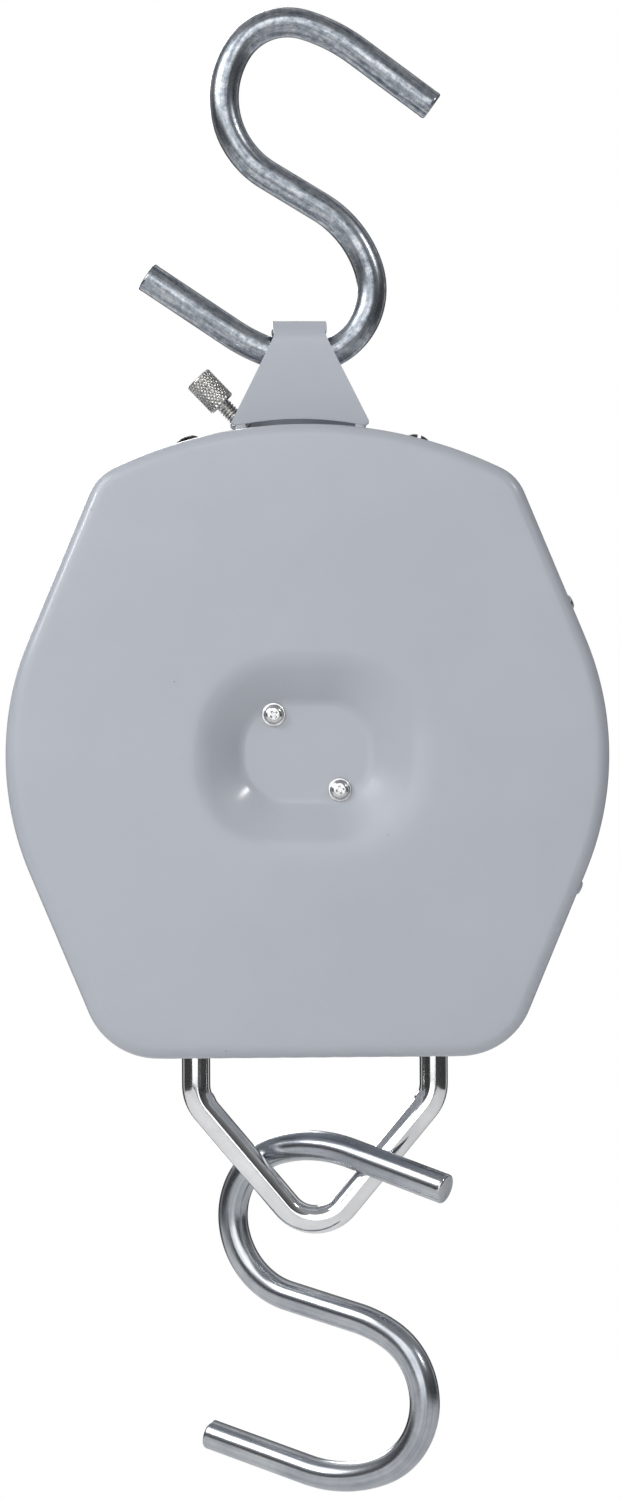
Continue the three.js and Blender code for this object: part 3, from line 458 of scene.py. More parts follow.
sweepWire = makeSweepTree()


def sweptWire(name, points, girths, diameter, sides, finish):
    mesh = bpy.data.meshes.new(name)
    mesh.from_pydata([tuple(p) for p in points], [(i, i + 1) for i in range(len(points) - 1)], [])
    attribute = mesh.attributes.new("girth", "FLOAT", "POINT")
    attribute.data.foreach_set("value", np.array(girths, np.float32))
    piece = newPiece(name, mesh, finish)
    throughTree(piece, sweepWire, {"Diameter": diameter / 1000, "Sides": sides}, finish)
    faceOut(piece.data)
    for face in piece.data.polygons:  # the two ends stay flat
        face.use_smooth = len(face.vertices) <= 4
    return piece


def endedWire(path, rim, lip=0.0):  # sheared ends with a rolled edge
    cuts = [0.0, 0.15, 0.4, 0.8, 1.6, 2.6, 4.0, 6.0]
    sizes = [1 - rim, 1 - rim * 0.45, 1 - rim * 0.12, 1.0 + lip, 1.0 + lip, 1.0 - lip * 0.6, 1.0, 1.0]
    line = [Vector(p) for p in path]
    lengths = [0.0]
    for a, b in zip(line, line[1:]):
        lengths.append(lengths[-1] + (b - a).length)
    total = lengths[-1]
    middle = [(s, p) for s, p in zip(lengths, line) if cuts[-1] + 0.5 < s < total - cuts[-1] - 0.5]
    first = (line[1] - line[0]).normalized()
    last = (line[-2] - line[-1]).normalized()
    points = [line[0] + first * c for c in cuts] + [p for _, p in middle]
    points += [line[-1] + last * c for c in cuts[::-1]]
    girths = sizes + [1.0] * len(middle) + sizes[::-1]
    return points, girths


hookSizes = {
    "wire": 11.6,
    "sides": 48,
    "step": 1.2,
    "endRim": 0.10,
    "top": {
        "middle": (2.9, 218.9), "slope": 31.1, "diagonal": 11.8, "lip": 0.012,
        "eye": [(35, 91.3), (23.1, 74.3), (66.2, 19.7), 36.2],
        "seat": [(43.1, 40.4), (27.2, 122.9), (67.2, 19.3), 39.7],
    },
    "lower": {
        "middle": (-6.7, -214.2), "slope": 12.9, "diagonal": 15.5, "lip": 0.004,
        "eye": [(31.7, 66.3), (27.8, 85.3), (57.6, 32.1), 42.5],
        "seat": [(50.2, 18.1), (29.1, 126.4), (52.9, 36.6), 44.7],
        "turnedAbout": -4.5, "yaw": 31.0,  # to thread the yoke's loop
    },
}


def hookPoints(hook):
    slope = math.radians(hook["slope"])
    eye = bentPath(slope, [hook["diagonal"], *hook["eye"]], hookSizes["step"])
    seat = bentPath(slope + math.pi, [hook["diagonal"], *hook["seat"]], hookSizes["step"])
    flat = eye[::-1] + seat[1:]
    x0, z0 = hook["middle"]
    yaw, axis = math.radians(-hook.get("yaw", 0.0)), hook.get("turnedAbout", 0.0)
    points = []
    for x, z in flat:
        across = x + x0 - axis
        points.append((axis + across * math.cos(yaw), across * math.sin(yaw), z + z0))
    return points


def makeHook(name, hook, finish):
    points, girths = endedWire(hookPoints(hook), hookSizes["endRim"], hook["lip"])
    placed = [place(*p) for p in points]
    return sweptWire(name, placed, girths, hookSizes["wire"], hookSizes["sides"], finish)


topWire = makeHook("topHookWire", hookSizes["top"], "zinc_wire")
settle(topWire, "top_hook", "zinc_wire", "top_hook")
lowerWire = makeHook("lowerHookWire", hookSizes["lower"], "drawn_zinc")
settle(lowerWire, "lower_hook", "zinc_wire", "lower_hook")

yokeSizes = {
    "wire": 11, "x": -3.8, "halfSpan": 46.2, "kneeZ": -133.1, "apexZ": -188.4,
    "kneeRadius": 15, "apexRadius": 14.5, "legTop": -60.3, "studTop": -46, "stud": 4,
    "shoulder": 0.93,  # the wire is turned down a little where its threaded stud starts
    "burr": {"height": 0.55, "reach": 2.6},  # pinch marks the bending tool left inside the knees
}


def makeYoke(s):
    lean = math.atan(s["halfSpan"] / (s["kneeZ"] - s["apexZ"]))
    apexTurn = math.pi - 2 * lean
    kneeSetback = s["kneeRadius"] * math.tan(lean / 2)
    apexSetback = s["apexRadius"] * math.tan(apexTurn / 2)
    slant = math.hypot(s["halfSpan"], s["kneeZ"] - s["apexZ"]) - kneeSetback - apexSetback
    leg = s["legTop"] - s["kneeZ"] - kneeSetback
    knee, apex = (s["kneeRadius"], math.degrees(lean)), (s["apexRadius"], math.degrees(apexTurn))
    flat = bentPath(-math.pi / 2, [leg, knee, slant, apex, slant, knee, leg], 1.2)
    left = s["x"] - s["halfSpan"]
    body = [(left + x, 0, s["legTop"] + z) for x, z in flat]
    stud = s["stud"] / (s["wire"] / 2)
    head = [(s["studTop"], stud * 0.8), (s["studTop"] - 0.6, stud), (s["legTop"] + 0.02, stud)]
    points = [(left, 0, z) for z, _ in head] + body + [(body[-1][0], 0, z) for z, _ in head[::-1]]
    rising = [g for _, g in head] + [s["shoulder"]]
    girths = rising + [1.0] * (len(body) - 2) + rising[::-1]
    piece = sweptWire("yokeWire", [place(*p) for p in points], girths, s["wire"], 48, "chrome_wire")
    marks = [place(s["x"] + side * (s["halfSpan"] - 5.4), 0, s["kneeZ"] + 0.5) for side in (-1, 1)]
    reach, height = s["burr"]["reach"] / 1000, s["burr"]["height"] / 1000
    for vertex in piece.data.vertices:
        for side, mark in zip((1, -1), marks):
            off = vertex.co - mark
            distance = math.hypot(off.x * 0.8, off.z * 1.3) + abs(off.y) * 0.35
            if distance < reach:
                lift = height * (1 - distance / reach) ** 0.6
                vertex.co += Vector((side * lift * 0.8, 0, lift * 0.9))
    piece.data.update()
    return piece


settle(makeYoke(yokeSizes), "draw_bar", "chrome_wire", "draw_yoke")

springSizes = {
    "x": 28.7, "radius": 6, "wire": 2, "turns": 15, "bottom": -51.4, "top": 90.4, "stepsPerTurn": 26,
}


def makeSpring(name, x, s):
    steps = s["turns"] * s["stepsPerTurn"]
    points = []
    for i in range(steps + 1):
        angle = 2 * math.pi * i / s["stepsPerTurn"]
        z = s["bottom"] + (s["top"] - s["bottom"]) * i / steps
        points.append(place(x + s["radius"] * math.cos(angle), s["radius"] * math.sin(angle), z))
    piece = sweptWire(name, points, [1.0] * len(points), s["wire"], 12, "spring_steel")
    return piece


for side, name in ((-1, "left"), (1, "right")):
    spring = makeSpring("springCoil_" + name, side * springSizes["x"], springSizes)
    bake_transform(spring)
    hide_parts("spring_" + name)
print("bent wires made")


coverSizes = {
    "radius": 115, "sideLean": 22.7, "topHeight": 126, "topArc": 172,
    "topCorner": 17.5, "bottomCorner": 28.5,
    "rearY": 38, "skirt": 24, "edge": 5, "sheet": 1.0, "around": 360,
    "rim": {"x": -1, "z": -0.4, "halfWidth": 43.2, "halfHeight": 37.1, "corner": 34},
    "floor": {"x": 0.5, "z": 1.1, "halfWidth": 24.8, "halfHeight": 19, "corner": 17},
    "depth": 9, "rimSoftness": 0.28, "floorSoftness": 0.1, "steepening": 1.25,
}


def arcPoints(x, z, radius, start, end, steps):
    turns = [start + (end - start) * i / steps for i in range(steps + 1)]
    return [(x + radius * math.cos(turn), z + radius * math.sin(turn)) for turn in turns]


def caseOutline(s, inset):
    lean = math.radians(s["sideLean"])
    radius, arcZ = s["radius"] - inset, s["topHeight"] - s["topArc"]
    bottomCorner, topCorner = s["bottomCorner"] - inset, s["topCorner"] - inset
    topRadius = s["topArc"] - inset
    span = math.pi / 2 - lean
    out = (radius - bottomCorner) / math.cos(span / 2)
    towards = -math.pi / 2 + span / 2
    bottomX, bottomZ = out * math.cos(towards), out * math.sin(towards)
    normalX, normalZ = math.cos(lean), math.sin(lean)
    footX, footZ = normalX * (radius - topCorner), normalZ * (radius - topCorner)
    along = -footX * normalZ + (footZ - arcZ) * normalX
    across = footX**2 + (footZ - arcZ) ** 2 - (topRadius - topCorner) ** 2
    up = -along + math.sqrt(along**2 - across)
    topX, topZ = footX - up * normalZ, footZ + up * normalX
    topStart = math.atan2(topZ - arcZ, topX)
    half = arcPoints(bottomX, bottomZ, bottomCorner, -math.pi / 2, -lean, 40)
    half += arcPoints(0, 0, radius, -lean, lean, 60)
    half += arcPoints(topX, topZ, topCorner, lean, topStart, 30)
    half += arcPoints(0, arcZ, topRadius, topStart, math.pi / 2, 40)[1:]
    return half + [(-x, z) for x, z in half[::-1][1:]]


def roundedRectangle(x, z, halfWidth, halfHeight, corner):
    points = []
    for n, (sx, sz) in enumerate(((1, -1), (1, 1), (-1, 1), (-1, -1))):
        start = -math.pi / 2 + n * math.pi / 2
        middle = (x + sx * (halfWidth - corner), z + sz * (halfHeight - corner))
        points += arcPoints(*middle, corner, start, start + math.pi / 2, 24)
    return points


def reachAt(outline, angles):  # how far the outline lies from the centre in each direction
    closed = np.array(outline + [outline[0]])
    parts = np.linspace(0, 1, 12, endpoint=False)[:, None]
    fine = np.concatenate([a + (b - a) * parts for a, b in zip(closed[:-1], closed[1:])])
    turn = np.arctan2(fine[:, 1], fine[:, 0])
    order = np.argsort(turn)
    return np.interp(angles, turn[order], np.hypot(fine[:, 0], fine[:, 1])[order], period=2 * math.pi)


def evenAngles(outline, count):
    closed = np.array(outline + [outline[0]])
    lengths = np.concatenate([[0], np.cumsum(np.hypot(*np.diff(closed, axis=0).T))])
    wanted = np.linspace(0, lengths[-1], count, endpoint=False)
    x, z = np.interp(wanted, lengths, closed[:, 0]), np.interp(wanted, lengths, closed[:, 1])
    return np.arctan2(z, x)


def easedRamp(t, softStart, softEnd):  # climbs from 0 to 1 with both its corners rounded off
    def corner(u, w):
        if u <= -w:
            return 0.0
        return u if u >= w else (u + w) ** 2 / (4 * w)

    return corner(t, softStart) - corner(t - 1, softEnd)


def ringSurface(name, rings, angles, closeMiddle):
    vertices, faces, count = [], [], len(angles)
    for reach, y in rings:
        vertices += [place(r * math.cos(a), y, r * math.sin(a)) for r, a in zip(reach, angles)]
    for k in range(len(rings) - 1):
        for i in range(count):
            j = (i + 1) % count
            faces.append((k * count + i, k * count + j, (k + 1) * count + j, (k + 1) * count + i))
    if closeMiddle:
        vertices.append(place(0, rings[-1][1], 0))
        last, middle = (len(rings) - 1) * count, len(vertices) - 1
        faces += [(last + i, last + (i + 1) % count, middle) for i in range(count)]
    return meshFrom(name, vertices, faces)


def makeCover(s):
    angles = evenAngles(caseOutline(s, 0), s["around"])
    outline = {}

    def edge(inset):
        if inset not in outline:
            outline[inset] = reachAt(caseOutline(s, inset), angles)
        return outline[inset]

    front, rear, corner = s["rearY"] - s["skirt"], s["rearY"], s["edge"]
    rings = [(edge(0), y) for y in (front, front + 1, front + 6, front + 12, rear - corner)]
    for i in range(1, 13):
        turn = math.pi / 2 * i / 12
        inset = round(corner * (1 - math.cos(turn)), 3)
        rings.append((edge(inset), rear - corner * (1 - math.sin(turn))))
    rim, floor = s["rim"], s["floor"]

    def recess(t):
        at = {key: rim[key] + (floor[key] - rim[key]) * t for key in rim}
        return reachAt(roundedRectangle(**at), angles)

    outer, first = edge(corner), recess(-0.3)
    rings += [(outer + (first - outer) * t, rear) for t in (0.02, 0.08, 0.2, 0.4, 0.6, 0.8, 0.92)]
    stretches = [np.linspace(-0.3, 0.3, 19), np.linspace(0.35, 0.84, 12), np.linspace(0.87, 1.2, 14)]
    for t in np.concatenate(stretches):
        sunk = easedRamp(t, s["rimSoftness"], s["floorSoftness"]) ** s["steepening"]
        rings.append((recess(t), rear - s["depth"] * sunk))
    last, lastY = rings[-1]
    rings += [(last * t, lastY) for t in (0.8, 0.55, 0.3, 0.1)]
    mesh = ringSurface("coverShell", rings, angles, True)
    piece = newPiece("coverShell", mesh, "grey_paint")
    edit = bmesh.new()
    edit.from_mesh(mesh)
    bmesh.ops.recalc_face_normals(edit, faces=edit.faces)
    top = max(edit.faces, key=lambda face: face.calc_center_median().y)
    if top.normal.y < 0:
        bmesh.ops.reverse_faces(edit, faces=edit.faces)
    edit.to_mesh(mesh)
    edit.free()
    wall = piece.modifiers.new("wall", "SOLIDIFY")
    wall.thickness, wall.offset, wall.use_even_offset = s["sheet"] / 1000, -1, True
    applied(piece)
    return shadeSmooth(piece, 50)


settle(makeCover(coverSizes), "case", "grey_paint", "rear_cover")
print("cover pressed")


strapSizes = {
    "x": 1.2, "innerY": 7, "sheet": 2.5, "top": 168.4, "foot": 26.8, "footZ": 127.7,
    "heights": [128.5, 162.7, 163.5, 164.4, 167.6, 168.4],
    "halfWidths": [26.8, 9.6, 10.1, 10.45, 10.45, 10.1],  # at those heights
    "rearArch": 130.6, "frontArch": 126.4, "tongue": (21, 26.8), "tongueZ": 94.5,
    "footRound": 2.4, "edge": 0.4,
}


def makeStrap(s):
    middle = s["innerY"] + s["sheet"] / 2
    foldZ = s["top"] - s["innerY"] - s["sheet"]
    columns = np.concatenate([[-1, -0.985, -0.95], np.linspace(-0.9, 0.9, 31), [0.95, 0.985, 1]])

    def halfWidth(z):
        return float(np.interp(z, s["heights"], s["halfWidths"]))

    def lowestZ(u, arch):
        x = abs(u) * s["foot"]
        edge = arch - (arch - s["footZ"]) * (x / s["foot"]) ** 2
        corner = max(0, x - (s["foot"] - s["footRound"]))
        return edge + s["footRound"] - math.sqrt(max(0, s["footRound"] ** 2 - corner**2)) - 0.9

    def plateRows(arch, y):
        made = []
        for t in (0, 0.03, 0.08, 0.2, 0.35, 0.5, 0.65, 0.8, 0.9, 0.96):
            zs = [lowestZ(u, arch) + (foldZ - lowestZ(u, arch)) * t for u in columns]
            made.append([(u * halfWidth(z), y, z) for u, z in zip(columns, zs)])
        return made

    rows = plateRows(s["rearArch"], middle)
    for k in range(33):
        turn = math.pi * k / 32
        z = foldZ + middle * math.sin(turn)
        rows.append([(u * halfWidth(z), middle * math.cos(turn), z) for u in columns])
    rows += plateRows(s["frontArch"], -middle)[::-1]
    vertices = [place(x + s["x"], y, z) for row in rows for x, y, z in row]
    width = len(columns)
    faces = []
    for r in range(len(rows) - 1):
        for c in range(width - 1):
            here, above = r * width + c, (r + 1) * width + c
            faces.append((here, here + 1, above + 1, above))
    mesh = meshFrom("suspensionStrap", vertices, faces)
    piece = newPiece("suspensionStrap", mesh, "grey_paint")
    wall = piece.modifiers.new("wall", "SOLIDIFY")
    wall.thickness, wall.offset = s["sheet"] / 1000, 0
    applied(piece)
    soft = piece.modifiers.new("soft", "BEVEL")
    soft.width, soft.segments = s["edge"] / 1000, 3
    soft.limit_method, soft.angle_limit = "ANGLE", math.radians(50)
    applied(piece)
    recalculate(piece.data)
    return shadeSmooth(piece, 40)


def makeTongues(s):  # they go down through the case's top wall
    inner, outer = s["tongue"]
    edit = bmesh.new()
    thin, top = s["sheet"] - 0.2, s["footZ"] + 1.6
    size = Vector((outer - inner - 2.2, thin, top - s["tongueZ"])) / 1000
    y, z = s["innerY"] + s["sheet"] / 2, (top + s["tongueZ"]) / 2
    for side in (1, -1):
        for end in (1, -1):
            centre = place(s["x"] + end * (inner + outer - 1.8) / 2, side * y, z)
            for vertex in bmesh.ops.create_cube(edit, size=1)["verts"]:
                vertex.co = vertex.co * size + centre
    bmesh.ops.bevel(edit, geom=edit.edges[:], offset=0.0003, segments=2, affect="EDGES", profile=0.6)
    mesh = bpy.data.meshes.new("strapTongues")
    edit.to_mesh(mesh)
    edit.free()
    return shadeSmooth(newPiece("strapTongues", mesh, "grey_paint"), 40)


settle(makeTongues(strapSizes), "case", "grey_paint")
settle(makeStrap(strapSizes), "case", "grey_paint", "suspension_bracket")
print("strap folded")


def makeScatterTree():
    inputs = {"Screw": ("Object", None), "Finish": ("Material", None)}
    tree, start = newTree("screwsInPlace", inputs)
    points = addNode(tree, "GeometryNodeMeshToPoints", {"Mesh": start.outputs["Geometry"]})
    sockets = {"Object": start.outputs["Screw"]}
    shape = addNode(tree, "GeometryNodeObjectInfo", sockets, transform_space="ORIGINAL")
    turn = namedValue(tree, "turn", "QUATERNION")
    sockets = {"Points": points.outputs[0], "Instance": shape.outputs["Geometry"], "Rotation": turn}
    spread = addNode(tree, "GeometryNodeInstanceOnPoints", sockets)
    endTree(tree, spread.outputs[0], start.outputs["Finish"])
    return tree


screwsInPlace = makeScatterTree()


def scattered(name, shape, places, finish):  # places: the seat, which way the head looks, and its twist
    mesh = bpy.data.meshes.new(name)
    mesh.from_pydata([tuple(p) for p, _, _ in places], [], [])
    turns = []
    for _, outward, twist in places:
        own = Matrix.Rotation(math.radians(twist), 3, "Z").to_quaternion()
        turn = Vector(outward).to_track_quat("Z", "Y") @ own
        turns += [turn.w, turn.x, turn.y, turn.z]
    attribute = mesh.attributes.new("turn", "QUATERNION", "POINT")
    attribute.data.foreach_set("value", np.array(turns, np.float32))
    piece = newPiece(name, mesh, finish)
    return throughTree(piece, screwsInPlace, {"Screw": shape}, finish)


def cutWith(piece, cutter):
    tool = piece.modifiers.new("cut", "BOOLEAN")
    tool.object, tool.operation, tool.solver = cutter, "DIFFERENCE", "EXACT"
    applied(piece)
    bpy.data.objects.remove(cutter)
    return piece


def taperedBar(edit, halfLength, halfWidth, bottom, top, taper):
    made = []
    for z, grow in ((bottom, taper), (top, 1.0)):
        for sx, sy in ((-1, -1), (1, -1), (1, 1), (-1, 1)):
            made.append(edit.verts.new((sx * halfLength * grow, sy * halfWidth * grow, z)))
    for face in ((3, 2, 1, 0), (4, 5, 6, 7), (0, 1, 5, 4), (1, 2, 6, 5), (2, 3, 7, 6), (3, 0, 4, 7)):
        edit.faces.new([made[i] for i in face])


def crossCutter(size, depth, top):
    edit = bmesh.new()
    bar = bpy.data.meshes.new("crossCutter")
    taperedBar(edit, size, size * 0.27, top - depth, top + 0.001, 0.45)
    edit.to_mesh(bar)
    edit.free()
    cutter = bpy.data.objects.new("crossCutter", bar)
    bpy.context.scene.collection.objects.link(cutter)
    return cutter


def panScrew(name, s):  # a pan head with a pressed flange and a cross recess, seat at z 0
    u = 0.001
    flange, head, shank, length = s["flange"], s["head"], s["shank"], s["length"]
    step, height = s["flangeHeight"], s["height"]
    top = step + height
    profile = [
        (0, -length), (shank, -length), (shank, 0, 0), (flange, 0), (flange, step),
        (head + 0.3, step, 0.25), (head, step + 0.35, 0.2), (head, step + height * 0.55, 0.7),
        (head * 0.72, top, 0.8), (0, top),
    ]
    profile = [(p[0] * u, p[1] * u, *(q * u for q in p[2:])) for p in profile]
    shape = newPiece(name, turnedMesh(name, rounded(profile, 0.25 * u), 48), "bright_zinc")
    for turn in (0, math.pi / 2):
        cutter = crossCutter(s["cross"] * u, s["crossDepth"] * u, top * u)
        cutter.data.transform(Matrix.Rotation(turn, 4, "Z"))
        cutWith(shape, cutter)
    return shadeSmooth(shape, 40)


recessScrew = {
    "flange": 4.5, "flangeHeight": 0.8, "head": 3.5, "height": 1.9, "shank": 1.6, "length": 8,
    "cross": 2.2, "crossDepth": 1.3, "apart": (12.6, 14.4), "twists": (38, 14),
}
flankScrew = {
    "flange": 3.2, "flangeHeight": 0.5, "head": 2.9, "height": 2.0, "shank": 1.5, "length": 4.5,
    "cross": 1.8, "crossDepth": 1.1, "y": 18, "upperZ": 57.9, "lowerZ": -50.9, "twists": (20, 65),
}

recessY = coverSizes["rearY"] - coverSizes["depth"] + 0.05
panShape = panScrew("panShape", recessScrew)
seats = []
for side, twist in zip((1, -1), recessScrew["twists"]):
    across, up = (side * v for v in recessScrew["apart"])
    x, z = coverSizes["floor"]["x"] + across, coverSizes["floor"]["z"] + up
    seats.append((place(x, recessY, z), (0, 1, 0), twist))
recessScrews = scattered("recessScrews", panShape, seats, "bright_zinc")
settle(recessScrews, "case", "bright_zinc", "cover_screw_upper", "cover_screw_lower")


def flankSeat(z, lift):
    lean = math.copysign(math.radians(coverSizes["sideLean"]), z)
    radius = coverSizes["radius"]
    along = (z - radius * math.sin(lean)) / math.cos(lean)
    x = -(radius * math.cos(lean) - along * math.sin(lean))
    outward = Vector((-math.cos(lean), 0, math.sin(lean)))
    return place(x, flankScrew["y"], z) + outward * lift / 1000, outward


flankShape = panScrew("flankShape", flankScrew)
upperTwist, lowerTwist = flankScrew["twists"]
upperSeat = (*flankSeat(flankScrew["upperZ"], 0.1), upperTwist)
lowerSeat = (*flankSeat(flankScrew["lowerZ"], 0.1), lowerTwist)
upper = scattered("flankScrewUpper", flankShape, [upperSeat], "bright_zinc")
settle(upper, "case", "bright_zinc", "side_screw_upper")
lower = scattered("flankScrewLower", flankShape, [lowerSeat], "grey_paint")  # painted over
settle(lower, "case", "bright_zinc", "side_screw_lower")

slottedScrew = {
    "head": 5.5, "height": 4.5, "collar": 1.0, "slot": 1.3, "slotDepth": 1.8, "shank": 2.5, "length": 14,
    "x": 44, "arc": 170.7,
    "seats": ((-1, 1.0, 0), (1, 0.6, 90)),  # side, how far it stands off the wall, twist
}


def makeSlotted(s):
    u = 0.001
    head, shank, collar, length = s["head"], s["shank"], s["collar"], s["length"]
    dome = s["height"] - collar
    profile = [(0, -length), (shank, -length), (shank, 0), (head, 0), (head, collar)]
    for turn in np.linspace(0.12, math.pi / 2 - 0.08, 12):
        profile.append((head * math.cos(turn), collar + dome * math.sin(turn)))
    profile.append((0, s["height"]))
    profile = [(x * u, z * u) for x, z in profile]
    shape = newPiece("slottedShape", turnedMesh("slottedShape", profile, 48), "black_steel")
    edit = bmesh.new()
    floor, top = (s["height"] - s["slotDepth"]) * u, (s["height"] + 1) * u
    taperedBar(edit, 0.008, s["slot"] * u / 2, floor, top, 1.0)
    bar = bpy.data.meshes.new("slotCutter")
    edit.to_mesh(bar)
    edit.free()
    cutter = bpy.data.objects.new("slotCutter", bar)
    bpy.context.scene.collection.objects.link(cutter)
    return shadeSmooth(cutWith(shape, cutter), 40)


slottedShape = makeSlotted(slottedScrew)
arcMiddle = place(0, 0, coverSizes["topHeight"] - coverSizes["topArc"])
seats = []
for side, lift, twist in slottedScrew["seats"]:
    lean = side * math.asin(slottedScrew["x"] / slottedScrew["arc"])
    outward = Vector((math.sin(lean), 0, math.cos(lean)))
    seats.append((arcMiddle + outward * (slottedScrew["arc"] + lift) / 1000, outward, twist))
slotted = scattered("slottedScrews", slottedShape, seats, "black_steel")
settle(slotted, "case", "black_steel", "top_screw_left", "top_screw_right")
for shape in (panShape, flankShape, slottedShape):
    bpy.data.objects.remove(shape)
print("screws set")


thumbSizes = {
    "headEnd": (31, 136.2), "slope": 46.2, "head": 5.6, "headLength": 13.9, "chamfer": 0.6,
    "knurls": 24, "knurlDepth": 0.34, "neck": 2.7, "neckLength": 0.7,
    "thread": 3.1, "pitch": 1.27, "threadDepth": 0.62, "length": 28,
}


def makeKnurlTree():  # pushes a turned blank in where two families of grooves cross
    inputs = {
        "Grooves": ("Float", 28.0), "Depth": ("Float", 0.0003), "Lead": ("Float", 0.03),
        "Single": ("Float", 0.0), "Finish": ("Material", None),
    }
    tree, start = newTree("cutGrooves", inputs)
    turn = namedValue(tree, "turn")
    distance = namedValue(tree, "distance")
    amount = namedValue(tree, "amount")
    around = math2(tree, "MULTIPLY", turn, start.outputs["Grooves"])
    along = math2(tree, "DIVIDE", distance, start.outputs["Lead"])

    def groove(phase):
        part = math2(tree, "FRACT", phase)
        centred = math2(tree, "ABSOLUTE", math2(tree, "SUBTRACT", part, 0.5))
        return math2(tree, "SUBTRACT", 1.0, math2(tree, "MULTIPLY", centred, 2.0))

    first = groove(math2(tree, "ADD", around, along))
    second = groove(math2(tree, "SUBTRACT", around, along))
    second = math2(tree, "MAXIMUM", second, start.outputs["Single"])
    height = math2(tree, "MINIMUM", first, second)
    low = math2(tree, "SUBTRACT", height, 1.0)
    push = math2(tree, "MULTIPLY", math2(tree, "MULTIPLY", low, amount), start.outputs["Depth"])
    cut = math2(tree, "MULTIPLY", math2(tree, "MULTIPLY", low, amount), -1.0)
    marked = storedValue(tree, start.outputs["Geometry"], "grooveDepth", cut)
    position = addNode(tree, "GeometryNodeInputPosition").outputs[0]
    sockets = {0: position, 1: (1, 1, 0)}
    flat = addNode(tree, "ShaderNodeVectorMath", sockets, operation="MULTIPLY").outputs[0]
    outward = addNode(tree, "ShaderNodeVectorMath", {0: flat}, operation="NORMALIZE").outputs[0]
    offset = addNode(tree, "ShaderNodeVectorMath", {0: outward}, operation="SCALE")
    tree.links.new(push, offset.inputs["Scale"])
    sockets = {"Geometry": marked, "Offset": offset.outputs[0]}
    moved = addNode(tree, "GeometryNodeSetPosition", sockets)
    endTree(tree, moved.outputs[0], start.outputs["Finish"])
    return tree


cutGrooves = makeKnurlTree()


def groovedPiece(name, profile, amounts, segments, values, finish):
    u = 0.001
    mesh = turnedMesh(name, [(r * u, z * u) for r, z in profile], segments)
    count = len(mesh.vertices)
    turn, distance, amount = np.zeros((3, count), np.float32)
    for i, vertex in enumerate(mesh.vertices):
        turn[i] = math.atan2(vertex.co.y, vertex.co.x) / (2 * math.pi)
        distance[i] = vertex.co.z
        amount[i] = np.interp(vertex.co.z / u, *amounts) if vertex.co.xy.length > 1e-5 else 0
    for label, data in (("turn", turn), ("distance", distance), ("amount", amount)):
        mesh.attributes.new(label, "FLOAT", "POINT").data.foreach_set("value", data)
    piece = newPiece(name, mesh, finish)
    return throughTree(piece, cutGrooves, values, finish)


def makeThumbScrew(s):
    chamfer, radius, length = s["chamfer"], s["head"], s["headLength"]
    rows = np.arange(-length + chamfer, -chamfer, 0.21)
    head = [(0, -length), (2.6, -length), (3.0, -length + 0.25), (3.4, -length)]
    head += [(radius - chamfer * (1 - t), -length + chamfer * t) for t in (0, 0.33, 0.66)]
    head += [(radius, z) for z in rows] + [(radius, -chamfer)]
    head += [(radius - chamfer * t, -chamfer * (1 - t)) for t in (0.33, 0.66, 1)] + [(2.0, 0), (0, 0)]
    faint, full = chamfer * 0.8, chamfer * 1.3  # the grooves run out over the chamfers
    amounts = ([-length, faint - length, full - length, -full, -faint, 0], [0, 0.25, 1, 1, 0.25, 0])
    pitch = 2 * math.pi * radius / s["knurls"]
    values = {
        "Grooves": float(s["knurls"]), "Depth": s["knurlDepth"] / 1000, "Lead": pitch * 1.35 / 1000,
        "Single": 0.0,
    }
    knob = groovedPiece("thumbKnob", head, amounts, s["knurls"] * 7, values, "nickel")
    neck, thread, reach = s["neck"], s["thread"], s["length"]
    rows = np.arange(s["neckLength"] + 0.7, reach - 0.9, 0.14)
    shank = [(0, -0.5), (neck, -0.5), (neck, s["neckLength"])]
    shank += [(thread, z) for z in rows]
    shank += [(thread - 0.8, reach - 0.1), (thread - 1.1, reach), (0, reach)]
    amounts = ([s["neckLength"], s["neckLength"] + 0.9, reach - 1.4, reach - 0.8], [0, 1, 1, 0])
    values = {"Grooves": 1.0, "Depth": s["threadDepth"] / 1000, "Lead": s["pitch"] / 1000, "Single": 1.0}
    screw = groovedPiece("thumbThread", shank, amounts, 40, values, "nickel")
    slope = math.radians(s["slope"])
    inward = Vector((-math.cos(slope), 0, -math.sin(slope)))
    x, z = s["headEnd"]
    stand = Matrix.Translation(place(x, 0, z)) @ inward.to_track_quat("Z", "Y").to_matrix().to_4x4()
    for piece in (knob, screw):
        piece.data.transform(stand)
        shadeSmooth(piece, 30 if piece is knob else 60)
    return knob, screw


knob, screw = makeThumbScrew(thumbSizes)
settle(knob, "zero_screw", "nickel", "zero_screw")
settle(screw, "zero_screw", "nickel")
print("thumb screw cut")


dialSizes = {
    "opening": 99, "flange": 5, "wall": 1.5, "frontY": -42, "bezelY": -45.5, "ringRearY": -33.8,
    "plateY": -33.5, "lensFront": -44.0, "units": 50, "sweep": 345.0,
    "minor": (87.5, 92.2, 0.6), "five": (85.0, 92.2, 1.1), "ten": (82.5, 92.2, 1.8),
    "circle": (92.2, 92.8), "numberRadius": 74.5, "numberHeight": 11.5, "ink": 0.06,
}


def ontoDial(mesh):  # what was turned about +Z now lies about the dial's own axis
    mesh.transform(Matrix.Rotation(-math.pi / 2, 4, "X"))
    mesh.transform(Matrix.Translation(Vector((dialCentre.x, 0, dialCentre.z))))
    return mesh


